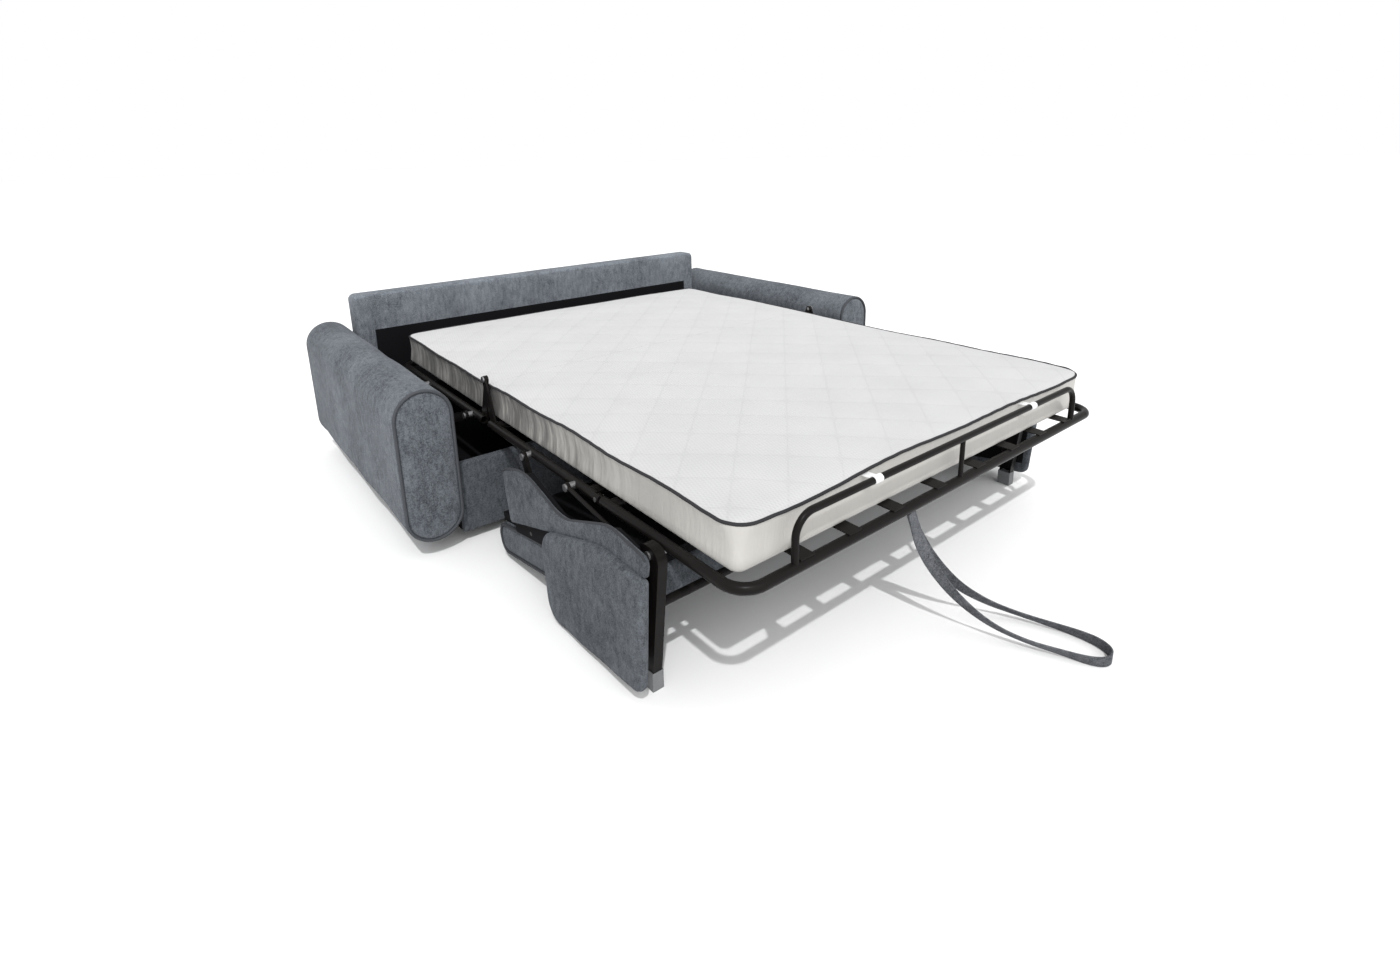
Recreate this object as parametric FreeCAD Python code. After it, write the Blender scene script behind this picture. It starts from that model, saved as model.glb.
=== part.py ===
import FreeCAD, Part
import math
import os

os.makedirs("parts", exist_ok=True)
V = FreeCAD.Vector

# All sizes are in millimetres. Lengths along the bed are measured from the mattress's foot edge,
# heights from the floor, and widths from the middle plane. The last step centres the whole part.

# Mattress
mattress_width = 1400.0
mattress_length = 1920.0
mattress_thickness = 105.0
mattress_crown = 10.0
mattress_corner = 55.0
mattress_edge_round = 8.0
mattress_waist = 6.0
crown_margin = 170.0
fold_split = 1.0
fold_corner = 2.0
edge_round_share = 0.3

# Bed frame
frame_height = 345.0
tube_diameter = 25.0
tube_wall = 1.5
tube_gap_to_mattress = 2.5
frame_corner = 55.0
rail_overhang = 30.0
head_overhang = 14.0
strip_width = 40.0
strip_thickness = 2.5
strip_places = (85.0, 250.0, 400.0, 545.0)
rest_gap = 0.3

# Fold between head and seat sections, and between seat and foot sections
fold_place = 1120.0
fold_rise = 5.0
fold_ear = 6.0
fold_ear_radius = 11.0
fold_ear_foot = 38.0
fold_tube_gap = 25.0
foot_fold_place = 470.0
foot_fold_gap = 20.0
lug_thickness = 6.0
lug_radius = 11.0
pin_radius = 6.0
pin_clearance = 0.05
side_clearance = 0.3
pin_head_radius = 10.0
pin_head = 4.0

# Links: a flat bar beside the frame, its width and its lane
link_gap = 12.5
link_thickness = 8.0
link_width = 30.0
lift_length = 285.0
lift_rest_angle = 20.0
lift_swing = 61.0
lift_front_place = 1220.0
lift_rear_place = 1620.0
open_pivot_clearance = 0.3

# Base
arm_width = 169.0
arm_height = 512.0
arm_floor_gap = 50.0
arm_front = 1050.0
arm_back = 2160.0
arm_edge = 12.0
arm_foot_radius = 25.0
arm_foot_inset = 150.0
base_floor_gap = 33.0
base_foot_radius = 30.0
base_foot_inset = 80.0
front_rail_face = 1075.0
front_rail_thickness = 28.0
front_rail_top = 255.0
rail_edge = 6.0
side_board_thickness = 12.0
side_board_top = 285.0
floor_board_thickness = 6.0
back_face = 2067.0
back_thickness = 88.0
back_top = 612.0
back_edge = 25.0
lining_thickness = 5.0
lining_top = 470.0
lining_half_width = 770.0
mechanism_plate = 5.0
mechanism_plate_height = 60.0
mechanism_plate_margin = 45.0

# Hoop at the foot
hoop_half_span = 576.0
hoop_rise = 110.0
hoop_diameter = 16.0
hoop_corner = 48.0
hoop_post_diameter = 12.0
elastic_place = 330.0
elastic_width = 25.0
elastic_thickness = 2.0

# Legs
leg_gap = 5.5
leg_depth = 24.0
leg_wall = 3.0
leg_pivot_place = 208.0
leg_pivot_drop = 12.0
leg_top_front = 170.0
leg_back = 246.0
leg_bottom_front = 212.0
leg_top_rise = 9.0
leg_top_radius = 30.0
leg_bottom = 15.0
leg_bar_place = 214.0
leg_bar_drop = 128.0
leg_bar_diameter = 20.0
leg_foot_height = 46.0
leg_foot_wall = 2.5

# Rods that fold the legs: from a pin on the seat section, bent down to a lug behind each leg
rod_place = 570.0
rod_diameter = 11.0
rod_eye_radius = 12.0
rod_bend = (300.0, 309.0)
rod_bend_radius = 60.0
rod_foot_place = 262.0
rod_foot_drop = 48.0
rod_foot_radius = 9.0

# Seat pack, hung under the seat section on its own links. The corners of its valances and wings
# are each a place, a height and a radius
pack_link_place = 810.0
pack_link_length = 200.0
pack_link_rest = 26.8
pack_tilt = 10.7
pack_gap = 17.0
deck_front = 220.0
deck_back = -430.0
deck_thickness = 25.0
deck_top = 10.0
deck_notch = 32.0
deck_notch_front = 30.0
deck_notch_back = -225.0
seat_front = 240.0
seat_back = -436.0
seat_overhang = 15.0
seat_thickness = 95.0
seat_corner = 42.0
seat_waist = 5.0
seat_edge_round = 12.0
seat_crown = 12.0
seat_crown_margin = 130.0
pack_board = 18.0
pack_board_back = -520.0
pack_board_front = 97.0
pack_board_drop = 17.0
pack_split = -190.0
valance_thickness = 13.0
valance_return = 8.0
valance_low_corners = ((-335.0, 64.0, 260.0), (-480.0, 42.0, 150.0), (-577.0, 44.0, 5.0))
valance_near_corner = (-577.0, 88.0, 10.0)
valance_top_corners = ((-452.0, 130.0, 160.0), (-225.0, 92.0, 160.0), (-40.0, 184.0, 180.0))
valance_rear_corners = ((112.0, 165.0, 45.0), (112.0, 12.0, 25.0))
wing_corners = (
    (-98.0, -189.0, 60.0),
    (-506.0, -230.0, 30.0),
    (-578.0, 40.0, 12.0),
    (-420.0, 78.0, 250.0),
    (-122.0, 44.0, 60.0),
)
wing_thickness = 21.0
wing_edge_round = 9.0
wing_board_inset = 18.0
wing_widest_share = 0.25
wing_shoulder_share = 0.6
wing_shoulder_draw = 0.4
wing_face_margin = 27.0
wing_gap = 1.7

# Pull strap: a flat loop, its width standing up, along points chosen by hand
strap_width = 28.0
strap_thickness = 4.0
strap_points = (
    (-152.0, -14.0, 262.0),
    (-104.0, -30.0, 176.0),
    (-46.0, -66.0, 96.0),
    (16.0, -112.0, 44.0),
    (66.0, -172.0, 19.0),
    (94.0, -246.0, 15.0),
    (110.0, -306.0, 15.0),
    (112.0, -352.0, 15.0),
    (92.0, -384.0, 15.0),
    (58.0, -386.0, 15.0),
    (32.0, -356.0, 15.0),
    (14.0, -304.0, 15.0),
    (-16.0, -236.0, 18.0),
    (-52.0, -164.0, 40.0),
    (-96.0, -100.0, 98.0),
    (-138.0, -54.0, 178.0),
    (-170.0, -30.0, 262.0),
)
strap_bend_share = 0.45
strap_start = (-196.0, -24.0)
strap_end = (-200.0, -33.0)
strap_tuck = 11.0

# How near an edge has to lie to a face to be picked for rounding
pick_tolerance = 1.0

# Sizes that follow from those above
tube_radius = tube_diameter / 2
frame_side = mattress_width / 2 + tube_gap_to_mattress + tube_radius
strip_bottom = frame_height + tube_radius
mattress_bottom = strip_bottom + strip_thickness + rest_gap
mattress_top = mattress_bottom + mattress_thickness + mattress_crown
fold_height = mattress_top + fold_rise
foot_rail_place = -rail_overhang
head_rail_place = mattress_length + head_overhang
lift_rise = lift_length * math.sin(math.radians(lift_rest_angle))
lift_run = lift_length * math.cos(math.radians(lift_rest_angle))
pack_pivot_place = pack_link_place - pack_link_length * math.sin(math.radians(pack_link_rest))
pack_pivot_height = frame_height - pack_link_length * math.cos(math.radians(pack_link_rest))
hoop_top = frame_height + hoop_rise
link_lane = frame_side + tube_radius + link_gap
link_outside = link_lane + link_thickness
leg_lane = frame_side + tube_radius + leg_gap
leg_top = frame_height + leg_top_rise
leg_pivot_height = frame_height - leg_pivot_drop
leg_bar_height = leg_pivot_height - leg_bar_drop
rod_foot_height = leg_pivot_height - rod_foot_drop
pack_lane = link_outside + pack_gap
seat_half_width = pack_lane + seat_overhang
valance_front = valance_rear_corners[0][0]
wing_outside = pack_lane + pack_board + valance_thickness + rest_gap + wing_thickness
arm_inner = wing_outside + wing_gap + mechanism_plate + side_board_thickness
part_front = foot_rail_place - tube_radius
part_back = arm_back
centre_place = (part_front + part_back) / 2


def box(x0, x1, y0, y1, z0, z1):
    return Part.makeBox(x1 - x0, y1 - y0, z1 - z0, V(x0, y0, z0))


def mirrored(shape):
    return shape.mirror(V(0, 0, 0), V(1, 0, 0))


def both_sides(shapes):
    return Part.makeCompound(list(shapes) + [mirrored(shape) for shape in shapes])


def side_prism(points, x0, x1):
    """A flat piece with an outline of (place, height) points, from x0 to x1."""
    corners = [V(x0, y, z) for y, z in points]
    face = Part.Face(Part.makePolygon(corners + corners[:1]))
    return face.extrude(V(x1 - x0, 0, 0))


def cross_rod(radius, x0, x1, y, z):
    return Part.makeCylinder(radius, x1 - x0, V(x0, y, z), V(1, 0, 0))


def length_rod(radius, x, y0, y1, z):
    return Part.makeCylinder(radius, y1 - y0, V(x, y0, z), V(0, 1, 0))


def rounded_path(points, radii):
    """Straight runs joined by tangent arcs, with one radius for each inner point."""
    corners = [V(*point) for point in points]
    edges = []
    start = corners[0]
    for before, corner, after, radius in zip(corners, corners[1:], corners[2:], radii):
        inward = (before - corner).normalize()
        outward = (after - corner).normalize()
        half_turn = (math.pi - inward.getAngle(outward)) / 2
        reach = radius * math.tan(half_turn)
        arc_start = corner + inward * reach
        arc_end = corner + outward * reach
        bisector = (inward + outward).normalize()
        arc_middle = corner + bisector * (radius / math.cos(half_turn) - radius)
        edges.append(Part.LineSegment(start, arc_start).toShape())
        edges.append(Part.Arc(arc_start, arc_middle, arc_end).toShape())
        start = arc_end
    edges.append(Part.LineSegment(start, corners[-1]).toShape())
    return Part.Wire(edges)


def rounded_side(corners, x):
    """A closed outline of (place, height, radius) corners, standing at x."""
    points = [V(x, place, height) for place, height, radius in corners]
    start = (points[0] + points[-1]) / 2
    return rounded_path([start] + points + [start], [radius for place, height, radius in corners])


def drawn_in(corners, inset):
    """The corners of a convex outline whose sides are all moved inwards by the inset."""
    moved = []
    for index, (place, height, radius) in enumerate(corners):
        corner = V(0, place, height)
        before = (V(0, *corners[index - 1][:2]) - corner).normalize()
        after = (V(0, *corners[(index + 1) % len(corners)][:2]) - corner).normalize()
        reach = inset / math.sin(before.getAngle(after) / 2)
        corner = corner + (before + after).normalize() * reach
        moved.append((corner.y, corner.z, max(radius - inset, fold_corner)))
    return moved


def swept_rod(path, radius):
    first = path.Edges[0]
    start = first.valueAt(first.FirstParameter)
    ring = Part.Wire(Part.makeCircle(radius, start, first.tangentAt(first.FirstParameter)))
    return path.makePipeShell([ring], True, False)


def bent_tube(points, bend_radius, diameter, wall):
    path = rounded_path(points, [bend_radius] * (len(points) - 2))
    return swept_rod(path, diameter / 2).cut(swept_rod(path, diameter / 2 - wall))


def straight_tube(x, y0, y1, z):
    outside = length_rod(tube_radius, x, y0, y1, z)
    return outside.cut(length_rod(tube_radius - tube_wall, x, y0, y1, z))


def rounded_outline(x0, x1, y0, y1, z, radii):
    """A rectangle with a radius at each corner: low-low, high-low, high-high, low-high."""
    near_left, near_right, far_right, far_left = radii
    corners = (
        (V(x0, y0, z), near_left, V(0, 1, 0), V(1, 0, 0)),
        (V(x1, y0, z), near_right, V(-1, 0, 0), V(0, 1, 0)),
        (V(x1, y1, z), far_right, V(0, -1, 0), V(-1, 0, 0)),
        (V(x0, y1, z), far_left, V(1, 0, 0), V(0, -1, 0)),
    )
    arcs = []
    for corner, radius, back, ahead in corners:
        centre = corner + back * radius + ahead * radius
        middle = centre - (back + ahead).normalize() * radius
        arcs.append(Part.Arc(corner + back * radius, middle, corner + ahead * radius).toShape())
    edges = []
    for index, arc in enumerate(arcs):
        following = arcs[(index + 1) % len(arcs)]
        edges.append(arc)
        edges.append(Part.LineSegment(arc.Vertexes[-1].Point, following.Vertexes[0].Point).toShape())
    return Part.Wire(edges)


def pad(x0, x1, y0, y1, levels, radius, sharp_near=False, sharp_far=False):
    """A soft block: outlines drawn in by the given amounts, one at each level, skinned in turn.

    A sharp end stays flat and is not drawn in, because the next section of the pad meets it there.
    """
    outlines = []
    for height, inset in levels:
        soft = max(radius - inset, fold_corner)
        near = 0.0 if sharp_near else inset
        far = 0.0 if sharp_far else inset
        near_corner = fold_corner if sharp_near else soft
        far_corner = fold_corner if sharp_far else soft
        radii = (near_corner, near_corner, far_corner, far_corner)
        outlines.append(rounded_outline(x0 + inset, x1 - inset, y0 + near, y1 - far, height, radii))
    return Part.makeLoft(outlines, True, True)


def soft_levels(bottom, thickness, edge_round, waist, crown, margin):
    """Levels of a cushion: rounded edges, sides drawn in between them, and a crown on top."""
    half_round = edge_round * edge_round_share
    return (
        (bottom, edge_round),
        (bottom + edge_round, half_round),
        (bottom + thickness / 2, waist),
        (bottom + thickness - edge_round, half_round),
        (bottom + thickness, edge_round),
        (bottom + thickness + crown, margin),
    )


def flat_link(y0, z0, y1, z1, hole_radii):
    """A flat bar with round ends and a hole at each pivot, in the links' lane on the right."""
    along = V(0, y1 - y0, z1 - z0).normalize()
    across = V(0, -along.z, along.y) * (link_width / 2)
    ends = (V(0, y0, z0), V(0, y1, z1))
    outline = (ends[0] + across, ends[1] + across, ends[1] - across, ends[0] - across)
    bar = side_prism([(point.y, point.z) for point in outline], link_lane, link_outside)
    for end in ends:
        bar = bar.fuse(cross_rod(link_width / 2, link_lane, link_outside, end.y, end.z))
    bar = bar.removeSplitter()
    for end, hole in zip(ends, hole_radii):
        bar = bar.cut(cross_rod(hole, link_lane, link_outside, end.y, end.z))
    return bar


def frame_pin(place, height):
    """A pin set through a frame tube, with a collar up to the link and a head outside it."""
    inside = frame_side - tube_radius
    outside = link_outside + side_clearance + pin_head
    pin = cross_rod(pin_radius, inside, outside, place, height)
    collar = cross_rod(pin_head_radius, frame_side, link_lane - side_clearance, place, height)
    tube = length_rod(tube_radius, frame_side, place - tube_diameter, place + tube_diameter, height)
    collar = collar.cut(tube)
    head = cross_rod(pin_head_radius, outside - pin_head, outside, place, height)
    return pin.fuse([collar, head]).removeSplitter()


def base_pin(place, height):
    """A pin standing in from the mechanism plate, with a collar and a head that hold the link."""
    inside = link_lane - side_clearance - pin_head
    plate_face = arm_inner - side_board_thickness - mechanism_plate
    pin = cross_rod(pin_radius, inside, plate_face, place, height)
    collar = cross_rod(pin_head_radius, link_outside + side_clearance, plate_face, place, height)
    head = cross_rod(pin_head_radius, inside, inside + pin_head, place, height)
    return pin.fuse([collar, head]).removeSplitter()


def fold_ear_shape(lane, foot_start):
    """A plate standing on a frame tube, up to the fold axis above the mattress."""
    top = [(fold_place - fold_ear_radius, fold_height), (fold_place + fold_ear_radius, fold_height)]
    foot = [(foot_start + fold_ear_foot, frame_height), (foot_start, frame_height)]
    ear = side_prism(top + foot, lane, lane + fold_ear)
    eye = cross_rod(fold_ear_radius, lane, lane + fold_ear, fold_place, fold_height)
    return ear.fuse(eye).removeSplitter()


def strips(start, end):
    half = strip_width / 2
    top = strip_bottom + strip_thickness
    return both_sides([box(x - half, x + half, start, end, strip_bottom, top) for x in strip_places])


def export(shape, name):
    shape.translate(V(0, -centre_place, 0))
    shape.exportStep("parts/" + name + ".step")
    return shape


def make_arm():
    half = arm_width / 2
    middle = arm_inner + half
    low = arm_floor_gap + half
    high = arm_height - half
    outline = Part.Wire([
        Part.LineSegment(V(arm_inner, arm_front, high), V(arm_inner, arm_front, low)).toShape(),
        Part.Arc(V(arm_inner, arm_front, low), V(middle, arm_front, arm_floor_gap),
                 V(arm_inner + arm_width, arm_front, low)).toShape(),
        Part.LineSegment(V(arm_inner + arm_width, arm_front, low),
                         V(arm_inner + arm_width, arm_front, high)).toShape(),
        Part.Arc(V(arm_inner + arm_width, arm_front, high), V(middle, arm_front, arm_height),
                 V(arm_inner, arm_front, high)).toShape(),
    ])
    arm = Part.Face(outline).extrude(V(0, arm_back - arm_front, 0))
    rims = [edge for edge in arm.Edges if edge.BoundBox.YLength < pick_tolerance]
    return arm.makeFillet(arm_edge, rims)


def make_base():
    arm = make_arm()
    export(mirrored(arm), "left_arm")
    export(arm.copy(), "right_arm")
    arm_middle = arm_inner + arm_width / 2
    glides = []
    for place in (arm_front + arm_foot_inset, arm_back - arm_foot_inset):
        glide = Part.makeCylinder(arm_foot_radius, arm_floor_gap + arm_foot_radius, V(arm_middle, place, 0))
        glides.append(glide.cut(make_arm()))
    export(both_sides(glides), "arm_feet")

    rail_back = front_rail_face + front_rail_thickness
    rail = box(-arm_inner, arm_inner, front_rail_face, rail_back, base_floor_gap, front_rail_top)
    long_edges = [edge for edge in rail.Edges
                  if edge.BoundBox.XLength > arm_inner and edge.BoundBox.YMax < rail_back - pick_tolerance]
    export(rail.makeFillet(rail_edge, long_edges), "front_rail")

    board_inner = arm_inner - side_board_thickness
    board = box(board_inner, arm_inner, rail_back, back_face, base_floor_gap, side_board_top)
    export(both_sides([board]), "base_side_boards")
    floor_top = base_floor_gap + floor_board_thickness
    export(box(-board_inner, board_inner, rail_back, back_face, base_floor_gap, floor_top), "floor_board")
    glides = []
    foot_lane = board_inner - base_foot_inset
    for place in (rail_back + base_foot_inset, back_face - base_foot_inset):
        glides.append(Part.makeCylinder(base_foot_radius, base_floor_gap, V(foot_lane, place, 0)))
    export(both_sides(glides), "base_feet")

    panel = box(-arm_inner, arm_inner, back_face, back_face + back_thickness, base_floor_gap, back_top)
    top_edges = [edge for edge in panel.Edges
                 if edge.BoundBox.XLength > arm_inner and edge.BoundBox.ZMin > back_top - pick_tolerance]
    export(panel.makeFillet(back_edge, top_edges), "back_panel")
    lining = box(-lining_half_width, lining_half_width, back_face - lining_thickness, back_face,
                 floor_top, lining_top)
    export(lining, "back_lining")

    pin_height = frame_height - lift_rise
    front_pin = lift_front_place + lift_run
    rear_pin = lift_rear_place + lift_run
    plate = box(board_inner - mechanism_plate, board_inner,
                front_pin - mechanism_plate_margin, rear_pin + mechanism_plate_margin,
                pin_height - mechanism_plate_height / 2, pin_height + mechanism_plate_height / 2)
    export(both_sides([plate]), "mechanism_plates")
    export(both_sides([base_pin(front_pin, pin_height), base_pin(rear_pin, pin_height)]), "lift_pivot_pins")


def make_lift_links():
    running = pin_radius + pin_clearance
    loose = pin_radius + open_pivot_clearance
    places = (("front_lift_links", lift_front_place, running), ("rear_lift_links", lift_rear_place, loose))
    for name, place, top_hole in places:
        bar = flat_link(place, frame_height, place + lift_run, frame_height - lift_rise, (top_hole, running))
        export(both_sides([bar]), name)


def make_head_section():
    start = fold_place + fold_tube_gap
    corners = (
        (-frame_side, start, frame_height),
        (-frame_side, head_rail_place, frame_height),
        (frame_side, head_rail_place, frame_height),
        (frame_side, start, frame_height),
    )
    bent = bent_tube(corners, frame_corner, tube_diameter, tube_wall)
    cross_place = start + tube_diameter
    cross = cross_rod(tube_radius, -frame_side, frame_side, cross_place, frame_height)
    for side in (-frame_side, frame_side):
        cross = cross.cut(length_rod(tube_radius, side, start, head_rail_place, frame_height))
    pins = [frame_pin(lift_front_place, frame_height), frame_pin(lift_rear_place, frame_height)]
    pins = both_sides(pins)
    export(Part.makeCompound([bent.cut(pins), cross.copy()]), "head_frame")
    export(pins, "head_link_pins")
    export(strips(start + tube_radius, head_rail_place), "head_strips")

    lane = frame_side - tube_radius + 2 * side_clearance
    ear = fold_ear_shape(lane, start)
    ear = ear.cut(length_rod(tube_radius, frame_side, start, head_rail_place, frame_height)).cut(cross)
    pin_end = lane + 2 * fold_ear + 3 * side_clearance + pin_head
    pin = cross_rod(pin_radius, lane, pin_end - pin_head, fold_place, fold_height)
    pin = pin.fuse(cross_rod(pin_head_radius, pin_end - pin_head, pin_end, fold_place, fold_height))
    pin = pin.removeSplitter()
    export(both_sides([ear.cut(pin)]), "head_fold_ears")
    export(both_sides([pin]), "fold_pins")

    half = mattress_width / 2
    levels = soft_levels(mattress_bottom, mattress_thickness, mattress_edge_round, mattress_waist,
                         mattress_crown, crown_margin)
    section = pad(-half, half, fold_place + fold_split, mattress_length, levels, mattress_corner,
                  sharp_near=True)
    export(section, "head_mattress")


def make_seat_section():
    start = foot_fold_place + foot_fold_gap
    end = fold_place - fold_tube_gap
    tube = straight_tube(frame_side, start, end, frame_height)
    pack_pin = frame_pin(pack_link_place, frame_height)
    rod_pin = frame_pin(rod_place, frame_height)
    crosses = []
    for place in (start + tube_diameter, end - tube_diameter):
        cross = cross_rod(tube_radius, -frame_side, frame_side, place, frame_height)
        for side in (-frame_side, frame_side):
            cross = cross.cut(length_rod(tube_radius, side, start, end, frame_height))
        crosses.append(cross)
    frame = both_sides([tube.cut(pack_pin).cut(rod_pin)])
    export(Part.makeCompound([frame] + [cross.copy() for cross in crosses]), "seat_frame")
    export(both_sides([pack_pin]), "pack_link_pins")
    export(both_sides([rod_pin]), "leg_rod_pins")
    export(strips(start + tube_radius, end - tube_radius), "seat_strips")

    lane = frame_side - tube_radius + 2 * side_clearance + fold_ear + 2 * side_clearance
    ear = fold_ear_shape(lane, end - fold_ear_foot)
    ear = ear.cut(length_rod(tube_radius, frame_side, start, end, frame_height)).cut(crosses[-1])
    ear = ear.cut(cross_rod(pin_radius + pin_clearance, lane, lane + fold_ear, fold_place, fold_height))
    export(both_sides([ear]), "seat_fold_ears")

    slot = lug_thickness / 2 + side_clearance
    fork_tip = foot_fold_place - lug_radius - side_clearance
    fork = length_rod(tube_radius, frame_side, fork_tip, start, frame_height)
    plug = length_rod(tube_radius - tube_wall, frame_side, start, start + foot_fold_gap, frame_height)
    fork = fork.fuse(plug).removeSplitter()
    slot_end = foot_fold_place + lug_radius + 4 * side_clearance
    fork = fork.cut(box(frame_side - slot, frame_side + slot, fork_tip, slot_end,
                        frame_height - tube_radius, frame_height + tube_radius))
    hinge_pin = cross_rod(pin_radius, frame_side - tube_radius, frame_side + tube_radius,
                          foot_fold_place, frame_height)
    export(both_sides([fork.cut(hinge_pin)]), "foot_fold_forks")
    export(both_sides([hinge_pin]), "foot_fold_pins")

    half = mattress_width / 2
    levels = soft_levels(mattress_bottom, mattress_thickness, mattress_edge_round, mattress_waist,
                         mattress_crown, crown_margin)
    section = pad(-half, half, foot_fold_place + fold_split, fold_place - fold_split, levels,
                  mattress_corner, sharp_near=True, sharp_far=True)
    export(section, "seat_mattress")


def make_foot_section():
    end = foot_fold_place - foot_fold_gap
    corners = (
        (-frame_side, end, frame_height),
        (-frame_side, foot_rail_place, frame_height),
        (frame_side, foot_rail_place, frame_height),
        (frame_side, end, frame_height),
    )
    bent = bent_tube(corners, frame_corner, tube_diameter, tube_wall)
    cross = cross_rod(tube_radius, -frame_side, frame_side, end - tube_diameter, frame_height)
    for side in (-frame_side, frame_side):
        cross = cross.cut(length_rod(tube_radius, side, foot_rail_place, end, frame_height))
    bolt_end = leg_lane + leg_depth + side_clearance + pin_head
    bolt = cross_rod(pin_radius, frame_side - tube_radius, bolt_end, leg_pivot_place, leg_pivot_height)
    collar = cross_rod(pin_head_radius, frame_side, leg_lane + leg_depth - leg_wall - side_clearance,
                       leg_pivot_place, leg_pivot_height)
    collar = collar.cut(length_rod(tube_radius, frame_side, foot_rail_place, end, frame_height))
    head = cross_rod(pin_head_radius, bolt_end - pin_head, bolt_end, leg_pivot_place, leg_pivot_height)
    bolt = bolt.fuse([collar, head]).removeSplitter()
    bolts = both_sides([bolt])
    export(Part.makeCompound([bent.cut(bolts), cross]), "foot_frame")
    export(bolts, "leg_bolts")
    export(strips(foot_rail_place - tube_radius / 2, end - tube_radius), "foot_strips")

    lug = length_rod(tube_radius - tube_wall, frame_side, end - foot_fold_gap, end, frame_height)
    half_lug = lug_thickness / 2
    lug = lug.fuse(box(frame_side - half_lug, frame_side + half_lug, end - foot_fold_gap, foot_fold_place,
                       frame_height - lug_radius + tube_wall, frame_height + lug_radius - tube_wall))
    lug = lug.fuse(cross_rod(lug_radius, frame_side - half_lug, frame_side + half_lug,
                             foot_fold_place, frame_height))
    lug = lug.common(length_rod(tube_radius, frame_side, end - foot_fold_gap,
                                foot_fold_place + lug_radius, frame_height))
    lug = lug.removeSplitter()
    lug = lug.cut(cross_rod(pin_radius + pin_clearance, frame_side - half_lug, frame_side + half_lug,
                            foot_fold_place, frame_height))
    export(both_sides([lug]), "foot_fold_lugs")

    hoop_low = frame_height
    hoop_points = (
        (-hoop_half_span, foot_rail_place, hoop_low),
        (-hoop_half_span, foot_rail_place, hoop_top),
        (hoop_half_span, foot_rail_place, hoop_top),
        (hoop_half_span, foot_rail_place, hoop_low),
    )
    rail = cross_rod(tube_radius, -frame_side, frame_side, foot_rail_place, frame_height)
    hoop = bent_tube(hoop_points, hoop_corner, hoop_diameter, tube_wall)
    export(hoop.cut(rail), "hoop")
    top_bar = cross_rod(hoop_diameter / 2, -hoop_half_span, hoop_half_span, foot_rail_place, hoop_top)
    post = Part.makeCylinder(hoop_post_diameter / 2, hoop_top - frame_height,
                             V(0, foot_rail_place, frame_height))
    export(post.cut(rail).cut(top_bar), "hoop_post")

    inner = hoop_diameter / 2
    outer = inner + elastic_thickness
    half_band = elastic_width / 2
    loop = cross_rod(outer, elastic_place - half_band, elastic_place + half_band, foot_rail_place, hoop_top)
    tab_top = mattress_bottom + mattress_thickness - mattress_edge_round
    tab = box(elastic_place - half_band, elastic_place + half_band, foot_rail_place + inner, 0.0,
              tab_top - elastic_thickness, tab_top)
    loop = loop.fuse(tab).removeSplitter()
    loop = loop.cut(cross_rod(inner, elastic_place - half_band, elastic_place + half_band,
                              foot_rail_place, hoop_top))
    export(both_sides([loop]), "elastic_loops")

    half = mattress_width / 2
    levels = soft_levels(mattress_bottom, mattress_thickness, mattress_edge_round, mattress_waist,
                         mattress_crown, crown_margin)
    section = pad(-half, half, 0.0, foot_fold_place - fold_split, levels, mattress_corner, sharp_far=True)
    export(section, "foot_mattress")


def make_legs():
    outside = leg_lane + leg_depth
    outline = ((leg_top_front, leg_top, leg_top_radius), (leg_back, leg_top, leg_top_radius),
               (leg_back, leg_bottom, fold_corner), (leg_bottom_front, leg_bottom, fold_corner))
    leg = Part.Face(rounded_side(outline, leg_lane)).extrude(V(leg_depth, 0, 0))
    hollow = Part.Face(rounded_side(drawn_in(outline, leg_wall), leg_lane))
    leg = leg.cut(hollow.extrude(V(leg_depth - leg_wall, 0, 0)))
    lug = cross_rod(rod_foot_radius, outside - leg_wall, outside, rod_foot_place, rod_foot_height)
    lug = lug.fuse(box(outside - leg_wall, outside, leg_back - leg_wall, rod_foot_place,
                       rod_foot_height - rod_foot_radius, rod_foot_height + rod_foot_radius))
    leg = leg.fuse(lug).removeSplitter()
    leg = leg.cut(cross_rod(pin_radius + pin_clearance, leg_lane, outside, leg_pivot_place, leg_pivot_height))
    foot = box(leg_lane - leg_foot_wall, outside + leg_foot_wall, leg_bottom_front - 2 * leg_foot_wall,
               leg_back + leg_foot_wall, 0.0, leg_foot_height)
    foot = foot.cut(leg)
    export(mirrored(leg), "left_leg")
    export(leg, "right_leg")
    export(both_sides([foot]), "leg_feet")
    bar_end = outside - leg_wall
    bar = cross_rod(leg_bar_diameter / 2, -bar_end, bar_end, leg_bar_place, leg_bar_height)
    bore = cross_rod(leg_bar_diameter / 2 - tube_wall, -bar_end, bar_end, leg_bar_place, leg_bar_height)
    export(bar.cut(bore), "leg_cross_bar")


def make_leg_rods():
    lane = (link_lane + link_outside) / 2
    eye = cross_rod(rod_eye_radius, link_lane, link_outside, rod_place, frame_height)
    start = (lane, rod_place - rod_eye_radius, frame_height)
    end = (lane, rod_foot_place, rod_foot_height)
    rod = swept_rod(rounded_path((start, (lane, *rod_bend), end), [rod_bend_radius]), rod_diameter / 2)
    lug_face = leg_lane + leg_depth - leg_wall - side_clearance
    foot = cross_rod(rod_foot_radius, lane, lug_face, rod_foot_place, rod_foot_height)
    rod = rod.fuse([eye, foot]).removeSplitter()
    rod = rod.cut(cross_rod(pin_radius + pin_clearance, link_lane, link_outside, rod_place, frame_height))
    export(both_sides([rod]), "leg_rods")


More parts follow.
